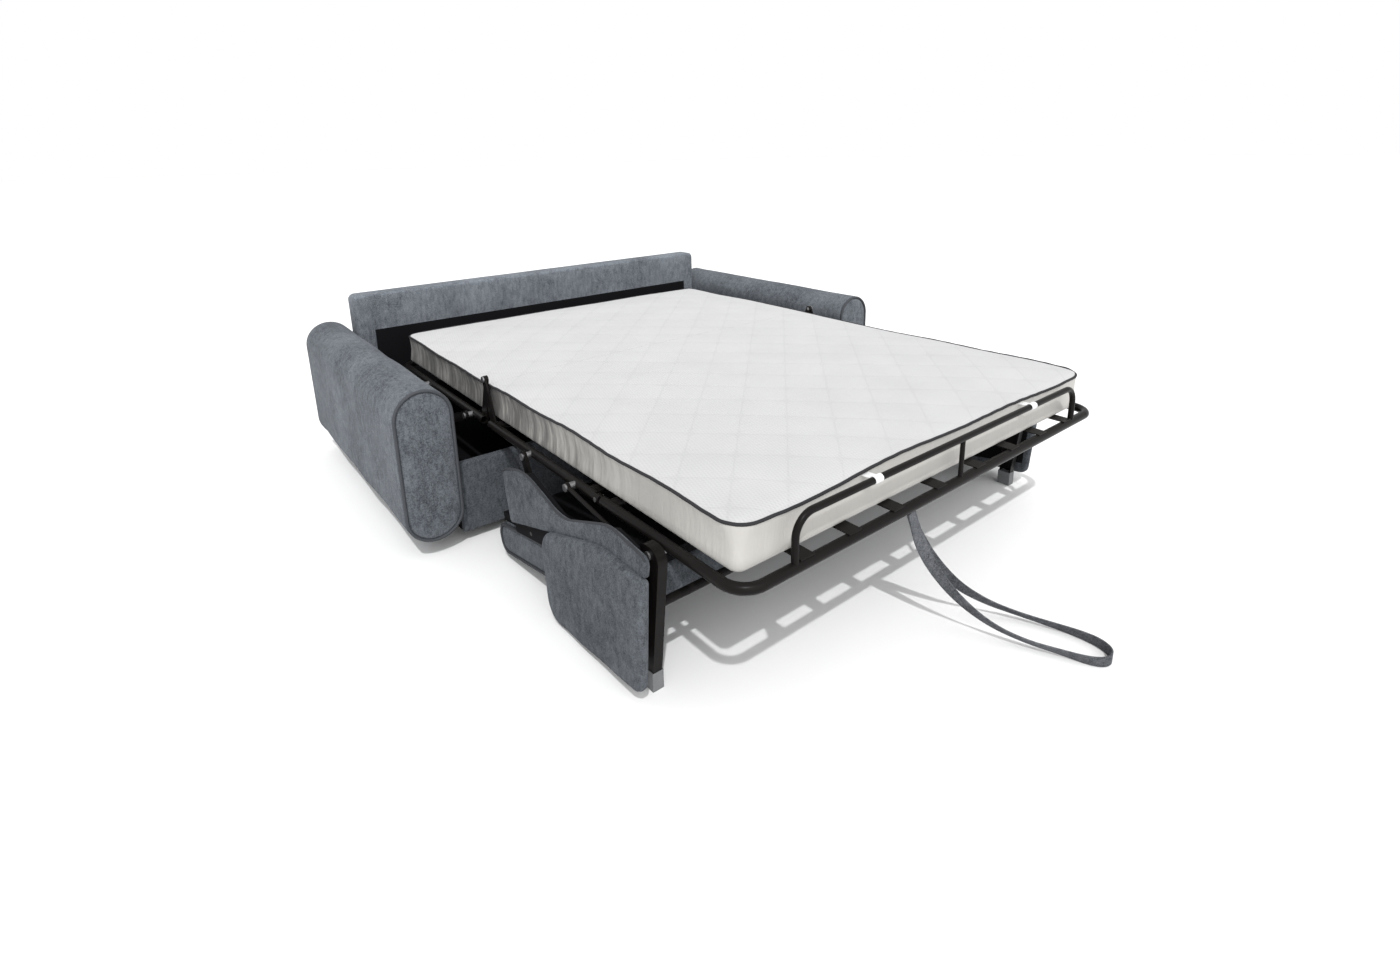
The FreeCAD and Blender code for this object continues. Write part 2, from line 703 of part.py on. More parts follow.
def place_pack(shape):
    """Turns a pack piece to its hanging tilt and sets it at the end of the pack links."""
    shape.rotate(V(0, 0, 0), V(1, 0, 0), -pack_tilt)
    shape.translate(V(0, pack_pivot_place, pack_pivot_height))
    return shape


def two_lengths(shape):
    """A long pack piece as the two lengths that it is joined from."""
    bounds = shape.BoundBox
    near = box(bounds.XMin, bounds.XMax, bounds.YMin, pack_split, bounds.ZMin, bounds.ZMax)
    return [shape.common(near), shape.cut(near)]


def make_pack():
    deck_bottom = deck_top - deck_thickness
    deck = box(-pack_lane, pack_lane, deck_back, deck_front, deck_bottom, deck_top)
    notch = box(pack_lane - deck_notch, pack_lane, deck_notch_back, deck_notch_front, deck_bottom, deck_top)
    deck = deck.cut(notch).cut(mirrored(notch))
    export(place_pack(deck), "deck_board")

    top = deck_bottom - rest_gap
    crown_down = soft_levels(0.0, seat_thickness, seat_edge_round, seat_waist, seat_crown, seat_crown_margin)
    levels = sorted((top - height, inset) for height, inset in crown_down)
    cushion = pad(-seat_half_width, seat_half_width, seat_back, seat_front, levels, seat_corner)
    export(place_pack(cushion), "seat_cushion")

    board_outside = pack_lane + pack_board
    board_top = [(place, height - pack_board_drop) for place, height, radius in valance_top_corners]
    board_ends = [(pack_board_front, valance_rear_corners[0][1] - pack_board_drop),
                  (pack_board_front, deck_bottom), (pack_board_back, deck_bottom),
                  (pack_board_back, valance_near_corner[1])]
    board = side_prism(board_top + board_ends, pack_lane, board_outside)
    pin_start = link_lane - side_clearance - pin_head
    pin = cross_rod(pin_radius, pin_start + pin_head, board_outside, 0.0, 0.0)
    collar = cross_rod(pin_head_radius, link_outside + side_clearance, pack_lane, 0.0, 0.0)
    head = cross_rod(pin_head_radius, pin_start, pin_start + pin_head, 0.0, 0.0)
    pin = pin.fuse([collar, head]).removeSplitter()
    export(place_pack(both_sides(two_lengths(board.cut(pin)))), "pack_side_boards")
    export(place_pack(both_sides([pin])), "pack_pins")

    valance_outside = board_outside + valance_thickness
    corners = (*valance_low_corners, valance_near_corner, *valance_top_corners, *valance_rear_corners)
    valance = Part.Face(rounded_side(corners, board_outside)).extrude(V(valance_thickness, 0, 0))
    upper, lower = valance_rear_corners
    lip = box(pack_lane - valance_return, board_outside, valance_front - valance_thickness, valance_front,
              lower[1] + lower[2], upper[1] - upper[2])
    valance = valance.fuse(lip).removeSplitter()
    export(place_pack(both_sides(two_lengths(valance))), "side_valances")

    outline = [(place, height) for place, height, radius in drawn_in(wing_corners, wing_board_inset)]
    backing = side_prism(outline, board_outside, valance_outside)
    wing_bottom = wing_corners[0][1]
    wing_front, wing_back = wing_corners[0][0], wing_corners[2][0]
    below_deck = box(board_outside, valance_outside, wing_back, wing_front, wing_bottom, deck_top)
    backing = backing.common(below_deck)
    backing = backing.cut(valance)
    export(place_pack(both_sides([backing])), "wing_boards")
    inner_face = valance_outside + rest_gap
    levels = (
        (inner_face, wing_edge_round),
        (inner_face + wing_thickness * wing_widest_share, 0.0),
        (inner_face + wing_thickness * wing_shoulder_share, wing_edge_round * wing_shoulder_draw),
        (inner_face + wing_thickness, wing_face_margin),
    )
    wing = Part.makeLoft([rounded_side(drawn_in(wing_corners, inset), x) for x, inset in levels], True, True)
    left = mirrored(wing)
    export(place_pack(wing), "right_wing")
    export(place_pack(left), "left_wing")

    running = pin_radius + pin_clearance
    bar = flat_link(pack_link_place, frame_height, pack_pivot_place, pack_pivot_height, (running, running))
    export(both_sides([bar]), "pack_links")


def make_strap():
    tied_height = frame_height - strap_tuck
    route = [(*strap_start, tied_height), *strap_points, (*strap_end, tied_height)]
    corners = [V(*point) for point in route]
    radii = []
    for before, corner, after in zip(corners, corners[1:], corners[2:]):
        turn = math.pi - (before - corner).getAngle(after - corner)
        run = min((before - corner).Length, (after - corner).Length)
        radii.append(strap_bend_share * run / math.tan(turn / 2))
    path = rounded_path(route, radii)
    start = corners[0]
    ahead = (corners[1] - corners[0]).normalize()
    across = V(0, 0, 1).cross(ahead).normalize() * (strap_thickness / 2)
    up = V(0, 0, strap_width / 2)
    section = [start + across + up, start - across + up, start - across - up, start + across - up]
    sweep = Part.BRepOffsetAPI.MakePipeShell(path)
    sweep.setBiNormalMode(V(0, 0, 1))
    sweep.add(Part.makePolygon(section + section[:1]))
    sweep.build()
    sweep.makeSolid()
    rail = cross_rod(tube_radius + rest_gap, -frame_side, frame_side, foot_rail_place, frame_height)
    strap = sweep.shape().cut(rail)
    print("strap bend radii", [round(radius) for radius in radii])
    print("strap length", round(path.Length), "volume", round(strap.Volume))
    export(strap, "pull_strap")


def report_axes():
    """Prints the fold axes and the closing travel, for the record."""
    axes = {
        "lift_front": (lift_front_place + lift_run, frame_height - lift_rise),
        "lift_rear": (lift_rear_place + lift_run, frame_height - lift_rise),
        "head_level": (lift_front_place, frame_height),
        "bed_fold": (fold_place, fold_height),
        "foot_fold": (foot_fold_place, frame_height),
        "leg_fold": (leg_pivot_place, leg_pivot_height),
        "leg_rod_turn": (rod_place, frame_height),
        "pack_swing": (pack_link_place, frame_height),
        "pack_level": (pack_pivot_place, pack_pivot_height),
    }
    for name, (place, height) in axes.items():
        print(name, round((place - centre_place) / 1000, 6), round(height / 1000, 6))
    low = lift_rest_angle - lift_swing
    print("lift drop", round(lift_rise - lift_length * math.sin(math.radians(low)), 1))


make_base()
make_lift_links()
make_head_section()
make_seat_section()
make_foot_section()
make_legs()
make_leg_rods()
make_pack()
make_strap()
report_axes()
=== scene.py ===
import math
import bmesh
import bpy
import numpy as np
from mathutils import Matrix, Vector


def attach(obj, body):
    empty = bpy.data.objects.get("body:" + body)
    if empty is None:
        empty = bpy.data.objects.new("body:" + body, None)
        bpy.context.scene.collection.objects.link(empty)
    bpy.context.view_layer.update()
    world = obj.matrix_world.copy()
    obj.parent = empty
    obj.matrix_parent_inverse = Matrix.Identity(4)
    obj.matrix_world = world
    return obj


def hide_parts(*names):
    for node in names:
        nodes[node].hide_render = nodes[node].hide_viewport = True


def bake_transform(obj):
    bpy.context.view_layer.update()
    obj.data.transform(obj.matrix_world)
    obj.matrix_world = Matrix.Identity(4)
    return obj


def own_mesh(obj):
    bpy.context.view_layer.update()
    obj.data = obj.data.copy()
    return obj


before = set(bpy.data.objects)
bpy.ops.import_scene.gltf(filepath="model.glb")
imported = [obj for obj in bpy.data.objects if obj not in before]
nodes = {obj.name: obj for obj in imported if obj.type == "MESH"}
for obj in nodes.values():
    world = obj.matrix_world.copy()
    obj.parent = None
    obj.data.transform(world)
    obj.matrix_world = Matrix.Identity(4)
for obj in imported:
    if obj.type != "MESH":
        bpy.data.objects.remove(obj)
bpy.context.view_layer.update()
bedShift = 1.05875  # lengths below run from the mattress's foot edge, the model is centred


# camera: fitted on the mattress corners, hoop, arms and feet
camSpec = dict(wide=1400.0, tall=960.0, focal=709.27, middleY=340.0, yaw=0.6743, pitch=0.2613, roll=-0.0196,
               place=(-1.4717, -0.8697, 1.1321))


def setCamera(s):
    cosP, sinP = math.cos(s["pitch"]), math.sin(s["pitch"])
    ahead = np.array([math.sin(s["yaw"]) * cosP, math.cos(s["yaw"]) * cosP, -sinP])
    flat = np.array([math.cos(s["yaw"]), -math.sin(s["yaw"]), 0.0])
    lift = np.cross(flat, ahead)
    right = flat * math.cos(s["roll"]) + lift * math.sin(s["roll"])
    up = lift * math.cos(s["roll"]) - flat * math.sin(s["roll"])
    data = bpy.data.cameras.new("photoView")
    data.sensor_fit = "HORIZONTAL"
    data.sensor_width = 36.0
    data.lens = data.sensor_width * s["focal"] / s["wide"]
    data.shift_y = (s["middleY"] - s["tall"] / 2) / s["wide"]
    data.clip_start = 0.05
    cam = bpy.data.objects.new("photoView", data)
    bpy.context.collection.objects.link(cam)
    turn = Matrix(np.stack([right, up, -ahead], axis=1).tolist()).to_4x4()
    x, y, z = s["place"]
    cam.matrix_world = Matrix.Translation((x, y - bedShift, z)) @ turn
    bpy.context.scene.camera = cam


setCamera(camSpec)
print("stage: camera")


# mesh makers: every shape is an array of points, filled in one go
def makePiece(name, verts, faces, material=None, weld=True, sharp=55.0):
    mesh = bpy.data.meshes.new(name)
    mesh.from_pydata(np.asarray(verts, float).reshape(-1, 3).tolist(), [], [list(map(int, f)) for f in faces])
    if weld:
        work = bmesh.new()
        work.from_mesh(mesh)
        bmesh.ops.remove_doubles(work, verts=work.verts, dist=2e-5)
        bmesh.ops.dissolve_degenerate(work, edges=work.edges, dist=1e-5)
        bmesh.ops.recalc_face_normals(work, faces=work.faces)
        work.to_mesh(mesh)
        work.free()
    mesh.polygons.foreach_set("use_smooth", np.ones(len(mesh.polygons), bool))
    mesh.set_sharp_from_angle(angle=math.radians(sharp))
    mesh.update()
    piece = bpy.data.objects.new(name, mesh)
    bpy.context.collection.objects.link(piece)
    if material is not None:
        mesh.materials.append(material)
    return piece


def gridFaces(rows, cols, ringed, looped=False):  # quads; ringed closes each row, looped the rows
    r = np.arange(rows if looped else rows - 1)[:, None]
    c = np.arange(cols if ringed else cols - 1)[None, :]
    nextR, nextC = (r + 1) % rows, (c + 1) % cols
    quads = np.stack([r * cols + c, r * cols + nextC, nextR * cols + nextC, nextR * cols + c], axis=-1)
    return quads.reshape(-1, 4)


def cappedFaces(rows, cols):  # a ringed grid with a face over each end
    ends = [list(range(cols))[::-1], list(range((rows - 1) * cols, rows * cols))]
    return gridFaces(rows, cols, True).tolist() + ends


rippleSpec = dict(count=9, slow=0.5, fast=1.6, level=1.4)


def ripples(points, size, seed):  # a sum of slow waves in space, about -1 to 1
    s, rng = rippleSpec, np.random.default_rng(seed)
    count = s["count"]
    ways = rng.normal(size=(count, 3))
    ways = ways / np.linalg.norm(ways, axis=1, keepdims=True) * (2 * np.pi / size)
    ways = ways * rng.uniform(s["slow"], s["fast"], (count, 1))
    phase = rng.uniform(0, 2 * np.pi, count)
    return np.sin(points @ ways.T + phase).sum(-1) / math.sqrt(count) / s["level"]


def roundRect(a0, a1, b0, b1, radii, inset, arc=10, side=40):  # outline drawn in by inset, corner by corner
    a0, a1, b0, b1 = a0 + inset, a1 - inset, b0 + inset, b1 - inset
    r = [max(x - inset, 0.0) for x in radii]
    r = [min(x, (a1 - a0) / 2, (b1 - b0) / 2) for x in r]
    t = np.linspace(0, np.pi / 2, arc)
    places = ((a1, b1, r[2], 0.0), (a0, b1, r[3], 0.5), (a0, b0, r[0], 1.0), (a1, b0, r[1], 1.5))
    out = []
    for ca, cb, x, start in places:
        ang = t + start * np.pi
        mid = np.array([ca - x * (1 if ca == a1 else -1), cb - x * (1 if cb == b1 else -1)])
        out.append(mid + x * np.stack([np.cos(ang), np.sin(ang)], -1))
    full = []
    for k in range(4):
        nxt = out[(k + 1) % 4][0]
        f = np.linspace(0, 1, side + 2)[1:-1, None]
        full += [out[k], out[k][-1] * (1 - f) + nxt * f]
    return np.concatenate(full)


def cornerWays(corners):  # places, directions back and ahead, bisectors and half angles
    spots = np.array([c[:2] for c in corners], float)
    back, ahead = np.roll(spots, 1, 0) - spots, np.roll(spots, -1, 0) - spots
    back /= np.linalg.norm(back, axis=1, keepdims=True)
    ahead /= np.linalg.norm(ahead, axis=1, keepdims=True)
    middle = back + ahead
    middle /= np.linalg.norm(middle, axis=1, keepdims=True)
    return spots, back, ahead, middle, np.arccos(np.clip((back * ahead).sum(1), -1, 1)) / 2


def drawnIn(corners, inset, leastRadius=0.002):  # a convex outline of corners, drawn in
    spots, _, _, middle, half = cornerWays(corners)
    spots = spots + middle * (inset / np.sin(half))[:, None]
    return np.c_[spots, np.maximum([c[2] - inset for c in corners], leastRadius)]


def roundCorners(corners, arc=9, side=16):  # an arc at each corner, then a straight run to the next
    spots, back, ahead, middle, half = cornerWays(corners)
    r = np.array([c[2] for c in corners])
    reach = (r / np.tan(half))[:, None]
    centre = spots + middle * (r / np.sin(half))[:, None]
    first, last = (spots + back * reach - centre)[:, None], (spots + ahead * reach - centre)[:, None]
    turn = (np.pi - 2 * half)[:, None, None]
    t = np.linspace(0, 1, arc)[None, :, None]
    arcs = centre[:, None] + (first * np.sin((1 - t) * turn) + last * np.sin(t * turn)) / np.sin(turn)
    f = np.linspace(0, 1, side + 2)[None, 1:-1, None]
    runs = arcs[:, -1:] * (1 - f) + np.roll(arcs, -1, 0)[:, :1] * f
    return np.concatenate([arcs, runs], axis=1).reshape(-1, 2)


def stack(outline, levels):  # outlines at their heights: rows of (a, b, height)
    return np.stack([np.c_[outline(inset), np.full(len(outline(inset)), h)] for h, inset in levels])


def tubeAlong(path, radius, flatUp, sides=10, closed=True):  # a round cord on a path that lies near one plane
    path = np.asarray(path, float)
    step = np.roll(path, -1, 0) - np.roll(path, 1, 0) if closed else np.gradient(path, axis=0)
    step /= np.linalg.norm(step, axis=1, keepdims=True)
    out = np.cross(step, np.broadcast_to(flatUp, path.shape))
    out /= np.linalg.norm(out, axis=1, keepdims=True)
    up = np.cross(out, step)
    ang = np.linspace(0, 2 * np.pi, sides, endpoint=False)
    across, rise = np.cos(ang)[None, :, None], np.sin(ang)[None, :, None]
    ring = path[:, None] + radius * (across * out[:, None] + rise * up[:, None])
    faces = gridFaces(len(path), sides, True, True) if closed else cappedFaces(len(path), sides)
    return ring.reshape(-1, 3), faces


def joinParts(parts):  # several (points, faces) sets as one
    verts, faces, base = [], [], 0
    for v, f in parts:
        v = np.asarray(v).reshape(-1, 3)
        verts.append(v)
        faces += [[int(i) + base for i in face] for face in f]
        base += len(v)
    return np.concatenate(verts), faces


# shader maths: a socket that can be added, multiplied and so on
class Flow:
    def __init__(self, tree, out=None):
        self.tree, self.out = tree, out

    def node(self, kind, settings=None, sockets=None, take=0):
        n = self.tree.nodes.new(kind)
        for key, value in (settings or {}).items():
            setattr(n, key, value)
        for key, value in (sockets or {}).items():
            if isinstance(value, Flow):
                self.tree.links.new(value.out, n.inputs[key])
            else:
                n.inputs[key].default_value = value
        return Flow(self.tree, n.outputs[take] if len(n.outputs) else None)

    def maths(self, operation, a, b):
        return self.node("ShaderNodeMath", {"operation": operation}, {0: a, 1: b})

    def __add__(self, other):
        return self.maths("ADD", self, other)

    def __radd__(self, other):
        return self.maths("ADD", other, self)

    def __sub__(self, other):
        return self.maths("SUBTRACT", self, other)

    def __rsub__(self, other):
        return self.maths("SUBTRACT", other, self)

    def __mul__(self, other):
        return self.maths("MULTIPLY", self, other)

    def __rmul__(self, other):
        return self.maths("MULTIPLY", other, self)

    def sine(self):
        return self.node("ShaderNodeMath", {"operation": "SINE"}, {0: self})

    def size(self):
        return self.node("ShaderNodeMath", {"operation": "ABSOLUTE"}, {0: self})

    def between(self, low, high):
        limits = {"Value": self, "From Min": low, "From Max": high}
        return self.node("ShaderNodeMapRange", {"interpolation_type": "SMOOTHSTEP"}, limits)

    def mix(self, low, high):  # this value is the share of the second colour
        return self.node("ShaderNodeMix", {"data_type": "RGBA"}, {0: self, 6: low, 7: high}, 2)

    def noise(self, spot, scale, detail=2.0, rough=0.5):
        sockets = {"Vector": spot, "Scale": scale, "Detail": detail, "Roughness": rough}
        return self.node("ShaderNodeTexNoise", None, sockets, "Fac")

    def split(self, spot):
        n = self.node("ShaderNodeSeparateXYZ", None, {0: spot})
        sockets = n.out.node.outputs
        return [Flow(self.tree, s) for s in sockets]


def startMaterial(name):
    mat = bpy.data.materials.new(name)
    mat.use_nodes = True
    mat.node_tree.nodes.clear()
    flow = Flow(mat.node_tree)
    spot = flow.node("ShaderNodeTexCoord", None, None, "Object")
    return mat, flow, spot


def endMaterial(flow, sockets, height=None, strength=0.3, distance=0.001):
    if height is not None:
        bump = {"Height": height, "Strength": strength, "Distance": distance}
        sockets["Normal"] = flow.node("ShaderNodeBump", None, bump)
    shader = flow.node("ShaderNodeBsdfPrincipled", None, sockets)
    flow.node("ShaderNodeOutputMaterial", None, {"Surface": shader})


def stretched(flow, spot, scale):
    return flow.node("ShaderNodeMapping", None, {"Vector": spot, "Scale": scale})


def grey(r, g, b):
    return (r, g, b, 1.0)


chenilleSpec = dict(
    dark=(0.022, 0.025, 0.030), light=(0.150, 0.164, 0.182), pile=620.0, patch=46.0, blotch=0.48, paintedLightScale=1.16,
    tuft=0.36, streak=(110.0, 70.0, 30.0), drift=5.0, sheen=grey(0.78, 0.82, 0.88),
    tone=dict(tuft=0.8, patch=0.8, drift=0.5), height=dict(fine=0.6, tuft=0.8, patch=0.3, streak=0.3))
strapCover = dict(chenilleSpec, dark=(0.010, 0.011, 0.014), light=(0.165, 0.172, 0.186), pile=760.0,
                  patch=150.0, blotch=0.45, paintedLightScale=1.0)


def chenille(name, s):  # short pile in patches a little lighter or darker; each panel's colours are scaled lighter or darker as painted light and shade
    mat, f, spot = startMaterial(name)
    fine = f.noise(spot, s["pile"], detail=2.0, rough=0.65)
    tuft = f.noise(spot, s["pile"] * s["tuft"], detail=3.0, rough=0.6)
    streak = f.noise(stretched(f, spot, s["streak"]), 1.0, detail=3.0, rough=0.6)
    patch = f.noise(spot, s["patch"], detail=3.0, rough=0.6)
    drift = f.noise(spot, s["drift"], detail=2.0)
    w = s["tone"]
    mottle = ((patch - 0.5) * w["patch"] + streak - 0.5) * s["blotch"]
    share = (fine - 0.5) + (tuft - 0.5) * w["tuft"] + mottle + (drift - 0.5) * w["drift"]
    # both ends of the colour range scaled per panel: painted light on the back panel, painted shade on the
    # front rail and seat pack
    dark, light = [grey(*(c * s["paintedLightScale"] for c in s[end])) for end in ("dark", "light")]
    tone = (share + 0.5).between(0.0, 1.0).mix(dark, light)
    h = s["height"]
    height = fine * h["fine"] + tuft * h["tuft"] + patch * h["patch"] + streak * h["streak"]
    endMaterial(f, {"Base Color": tone, "Roughness": 0.95, "Sheen Weight": 0.05, "Sheen Roughness": 0.5,
                    "Sheen Tint": s["sheen"], "Specular IOR Level": 0.1},
                height, strength=0.6, distance=0.0015)
    return mat


def lining(name):  # black non-woven cloth, faintly dimpled
    mat, f, spot = startMaterial(name)
    dimple = f.noise(spot, scale=420.0, detail=1.0)
    drift = f.noise(spot, scale=7.0, detail=3.0)
    tone = (dimple * 0.5 + drift * 0.5).mix(grey(0.0025, 0.0025, 0.003), grey(0.009, 0.009, 0.0105))
    endMaterial(f, {"Base Color": tone, "Roughness": 0.92, "Specular IOR Level": 0.08}, dimple,
                strength=0.3, distance=0.0008)
    return mat


def tubePaint(name):  # brown-black satin paint, slightly uneven
    mat, f, spot = startMaterial(name)
    skin = f.noise(spot, scale=160.0, detail=2.0)
    drift = f.noise(spot, scale=9.0, detail=4.0)
    tone = drift.mix(grey(0.0045, 0.0040, 0.0038), grey(0.0105, 0.0094, 0.0089))
    rough = 0.22 + drift * 0.14 + skin * 0.05
    endMaterial(f, {"Base Color": tone, "Roughness": rough, "Specular IOR Level": 0.08}, skin,
                strength=0.06, distance=0.0008)
    return mat


def pinMetal(name):  # zinc-plated steel, dulled
    mat, f, spot = startMaterial(name)
    drift = f.noise(spot, scale=70.0, detail=3.0)
    tone = drift.mix(grey(0.13, 0.13, 0.135), grey(0.36, 0.36, 0.37))
    endMaterial(f, {"Base Color": tone, "Roughness": 0.3 + drift * 0.2, "Metallic": 0.9}, drift,
                strength=0.05, distance=0.0004)
    return mat


def moulded(name, dark, light):  # moulded plastic with a fine grain
    mat, f, spot = startMaterial(name)
    grain = f.noise(spot, scale=900.0, detail=1.0)
    drift = f.noise(spot, scale=30.0, detail=3.0)
    endMaterial(f, {"Base Color": drift.mix(dark, light), "Roughness": 0.5 + grain * 0.12}, grain,
                strength=0.15, distance=0.0003)
    return mat


quiltSpec = dict(pitch=0.165, rib=0.0085, ribLong=2.4, slant=0.12, counterSlant=0.1, seam=0.09,
                 low=grey(0.350, 0.350, 0.354), high=grey(0.485, 0.485, 0.489))


def quiltTop(name, s):  # white knit, ribbed inside each sewn diamond
    mat, f, spot = startMaterial(name)
    x, y, z = f.split(spot)
    k = math.pi / s["pitch"]
    stitch = (((x + y) * k).sine().size() * ((x - y) * k).sine().size()).between(0.0, s["seam"])
    across = ((x + y * s["slant"]) * (2 * math.pi / s["rib"])).sine()
    along = ((y - x * s["counterSlant"]) * (2 * math.pi / (s["rib"] * s["ribLong"]))).sine()
    rib = across * along
    fine = f.noise(spot, scale=650.0, detail=1.0)
    drift = f.noise(spot, scale=7.0, detail=3.0)
    # darker along the sewn lines: painted shade in the quilting grooves
    share = stitch * 0.15 + rib * 0.17 + drift * 0.42 + (fine - 0.5) * 0.2 + 0.36
    height = stitch * 0.35 + rib * 0.3 + fine * 0.15
    endMaterial(f, {"Base Color": share.mix(s["low"], s["high"]), "Roughness": 0.86, "Sheen Weight": 0.1,
                    "Specular IOR Level": 0.25}, height, strength=0.5, distance=0.002)
    return mat


# border: cream cloth with painted shade toward the head, in wrinkles and in slow blotches
borderSpec = dict(foot=-1.02, head=-0.05, wrinkle=(48.0, 48.0, 6.0), shadeBlotch=(9.0, 9.0, 6.0),
                  shade=grey(0.085, 0.082, 0.078), cream=grey(0.425, 0.414, 0.390))


def mattressSide(name, s):  # satin border cloth, cream at the foot; painted shade greys it toward the head and in its wrinkles
    mat, f, spot = startMaterial(name)
    x, y, z = f.split(spot)
    wrinkle = f.noise(stretched(f, spot, s["wrinkle"]), 1.0, detail=4.0, rough=0.6)
    shadeBlotch = f.noise(stretched(f, spot, s["shadeBlotch"]), 1.0, detail=3.0, rough=0.6)
    fine = f.noise(spot, scale=520.0, detail=1.0)
    headward = y.between(s["foot"], s["head"])
    # painted shade: grows toward the head, deeper in wrinkles and in slow blotches; the next line darkens the
    # wrinkles everywhere, also painted shade
    paintedBorderShade = headward * (0.60 + 1.7 * (wrinkle - 0.47) + 0.7 * (shadeBlotch - 0.45))
    share = 1.0 - paintedBorderShade - (wrinkle - 0.5) * 0.25 - fine * 0.04
    tone = share.between(0.0, 1.0).mix(s["shade"], s["cream"])
    endMaterial(f, {"Base Color": tone, "Roughness": 0.5 + wrinkle * 0.15, "Sheen Weight": 0.1},
                wrinkle + fine * 0.06, strength=0.6, distance=0.006)
    return mat


def darkCord(name, dark, light):  # woven piping cord
    mat, f, spot = startMaterial(name)
    fine = f.noise(spot, scale=700.0, detail=1.0)
    endMaterial(f, {"Base Color": fine.mix(dark, light), "Roughness": 0.8}, fine,
                strength=0.4, distance=0.0008)
    return mat


def ribbed(name, pitch=0.0032):  # white elastic, ribbed along its length
    mat, f, spot = startMaterial(name)
    x, y, z = f.split(spot)
    rib = (x * (2 * math.pi / pitch)).sine()
    fine = f.noise(spot, scale=800.0, detail=1.0)
    tone = (rib * 0.25 + fine * 0.4 + 0.3).mix(grey(0.58, 0.58, 0.58), grey(0.83, 0.83, 0.83))
    endMaterial(f, {"Base Color": tone, "Roughness": 0.82}, rib * 0.5 + fine * 0.3,
                strength=0.5, distance=0.0008)
    return mat


chenilleCloth = chenille("chenilleCloth", chenilleSpec)
# lit and shaded copies of one cloth: the back panel made lighter as painted light, the front rail and seat
# pack darker as painted shade under the bed; the pack also mottles more
backClothPaintedLight = chenille("backClothPaintedLight", dict(chenilleSpec, paintedLightScale=1.5))
railClothPaintedShade = chenille("railClothPaintedShade", dict(chenilleSpec, paintedLightScale=0.78))
packClothPaintedShade = chenille("packClothPaintedShade", dict(chenilleSpec, paintedLightScale=0.78, blotch=0.60))
strapCloth = chenille("strapCloth", strapCover)
blackLining = lining("blackLining")
tubeFinish = tubePaint("tubeFinish")
pinFinish = pinMetal("pinFinish")
glidePlastic = moulded("glidePlastic", grey(0.012, 0.012, 0.012), grey(0.03, 0.03, 0.03))
footPlastic = moulded("footPlastic", grey(0.10, 0.104, 0.108), grey(0.16, 0.165, 0.17))
quiltCloth = quiltTop("quiltCloth", quiltSpec)
sideCloth = mattressSide("sideCloth", borderSpec)
blackPiping = darkCord("blackPiping", grey(0.005, 0.005, 0.007), grey(0.015, 0.015, 0.018))
bluePiping = darkCord("bluePiping", grey(0.016, 0.018, 0.022), grey(0.062, 0.068, 0.078))
# a darker copy of the arms' piping: painted shade on the seat pack under the bed
packPipingPaintedShade = darkCord("packPipingPaintedShade", grey(0.008, 0.009, 0.012), grey(0.030, 0.033, 0.039))
whiteElastic = ribbed("whiteElastic")
print("stage: finishes")


# pull strap: a flat loop from under the foot rail to the floor and back
strapForm = dict(
    route=((-196, -24, 334), (-152, -14, 262), (-104, -30, 176), (-46, -66, 96), (16, -112, 44),
           (66, -172, 19), (94, -246, 15), (110, -306, 15), (112, -352, 15), (92, -384, 15),
           (58, -386, 15), (32, -356, 15), (14, -304, 15), (-16, -236, 18), (-52, -164, 40),
           (-96, -100, 98), (-138, -54, 178), (-170, -30, 262), (-200, -33, 334)),  # in millimetres
    width=0.028, thick=0.004, lean=math.radians(42), tucked=0.12,
    hem=((0.0, 0.45), (0.0007, 1.0), (0.00224, 0.86), (0.0035, 1.0)))  # from the edge, share of the thickness


def smoothRoute(points):  # the route's own smooth line, read from its spline
    curve = bpy.data.curves.new("strapRoute", "CURVE")
    curve.dimensions = "3D"
    curve.resolution_u = 16
    line = curve.splines.new("NURBS")
    line.points.add(len(points) - 1)
    line.points.foreach_set("co", np.c_[points, np.ones(len(points))].ravel())
    line.order_u = 3
    line.use_endpoint_u = True
    holder = bpy.data.objects.new("strapRoute", curve)
    bpy.context.collection.objects.link(holder)
    bpy.context.view_layer.update()
    mesh = bpy.data.meshes.new_from_object(holder)
    found = np.empty(len(mesh.vertices) * 3)
    mesh.vertices.foreach_get("co", found)
    bpy.data.objects.remove(holder)
    bpy.data.meshes.remove(mesh)
    return found.reshape(-1, 3)


def makeStrap(s):
    route = np.array(s["route"], float) / 1000 - np.array([0, bedShift, 0])
    line = smoothRoute(route)
    ahead = np.gradient(line, axis=0)
    ahead /= np.linalg.norm(ahead, axis=1, keepdims=True)
    wide = np.array([0, 0, 1.0]) - ahead * ahead[:, 2:3]
    wide /= np.linalg.norm(wide, axis=1, keepdims=True)
    thin = np.cross(ahead, wide)
    along = np.linspace(0, 2 * np.pi, len(line))
    lean = (s["lean"] * np.sin(along) * np.abs(np.sin(along)))[:, None]  # both runs lean alike
    wide, thin = wide * np.cos(lean) + thin * np.sin(lean), thin * np.cos(lean) - wide * np.sin(lean)
    quarter = np.array([(s["width"] / 2 - edge, s["thick"] / 2 * share) for edge, share in s["hem"]])
    upper = np.concatenate([quarter, quarter[::-1] * (-1, 1)])
    section = np.concatenate([upper, -upper])
    rows = line[:, None] + section[None, :, :1] * wide[:, None] + section[None, :, 1:] * thin[:, None]
    piece = makePiece("pullStrap", rows, cappedFaces(len(line), len(section)), strapCloth, sharp=70)
    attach(piece, "foot_section")
    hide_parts("pull_strap")
    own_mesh(piece)


makeStrap(strapForm)
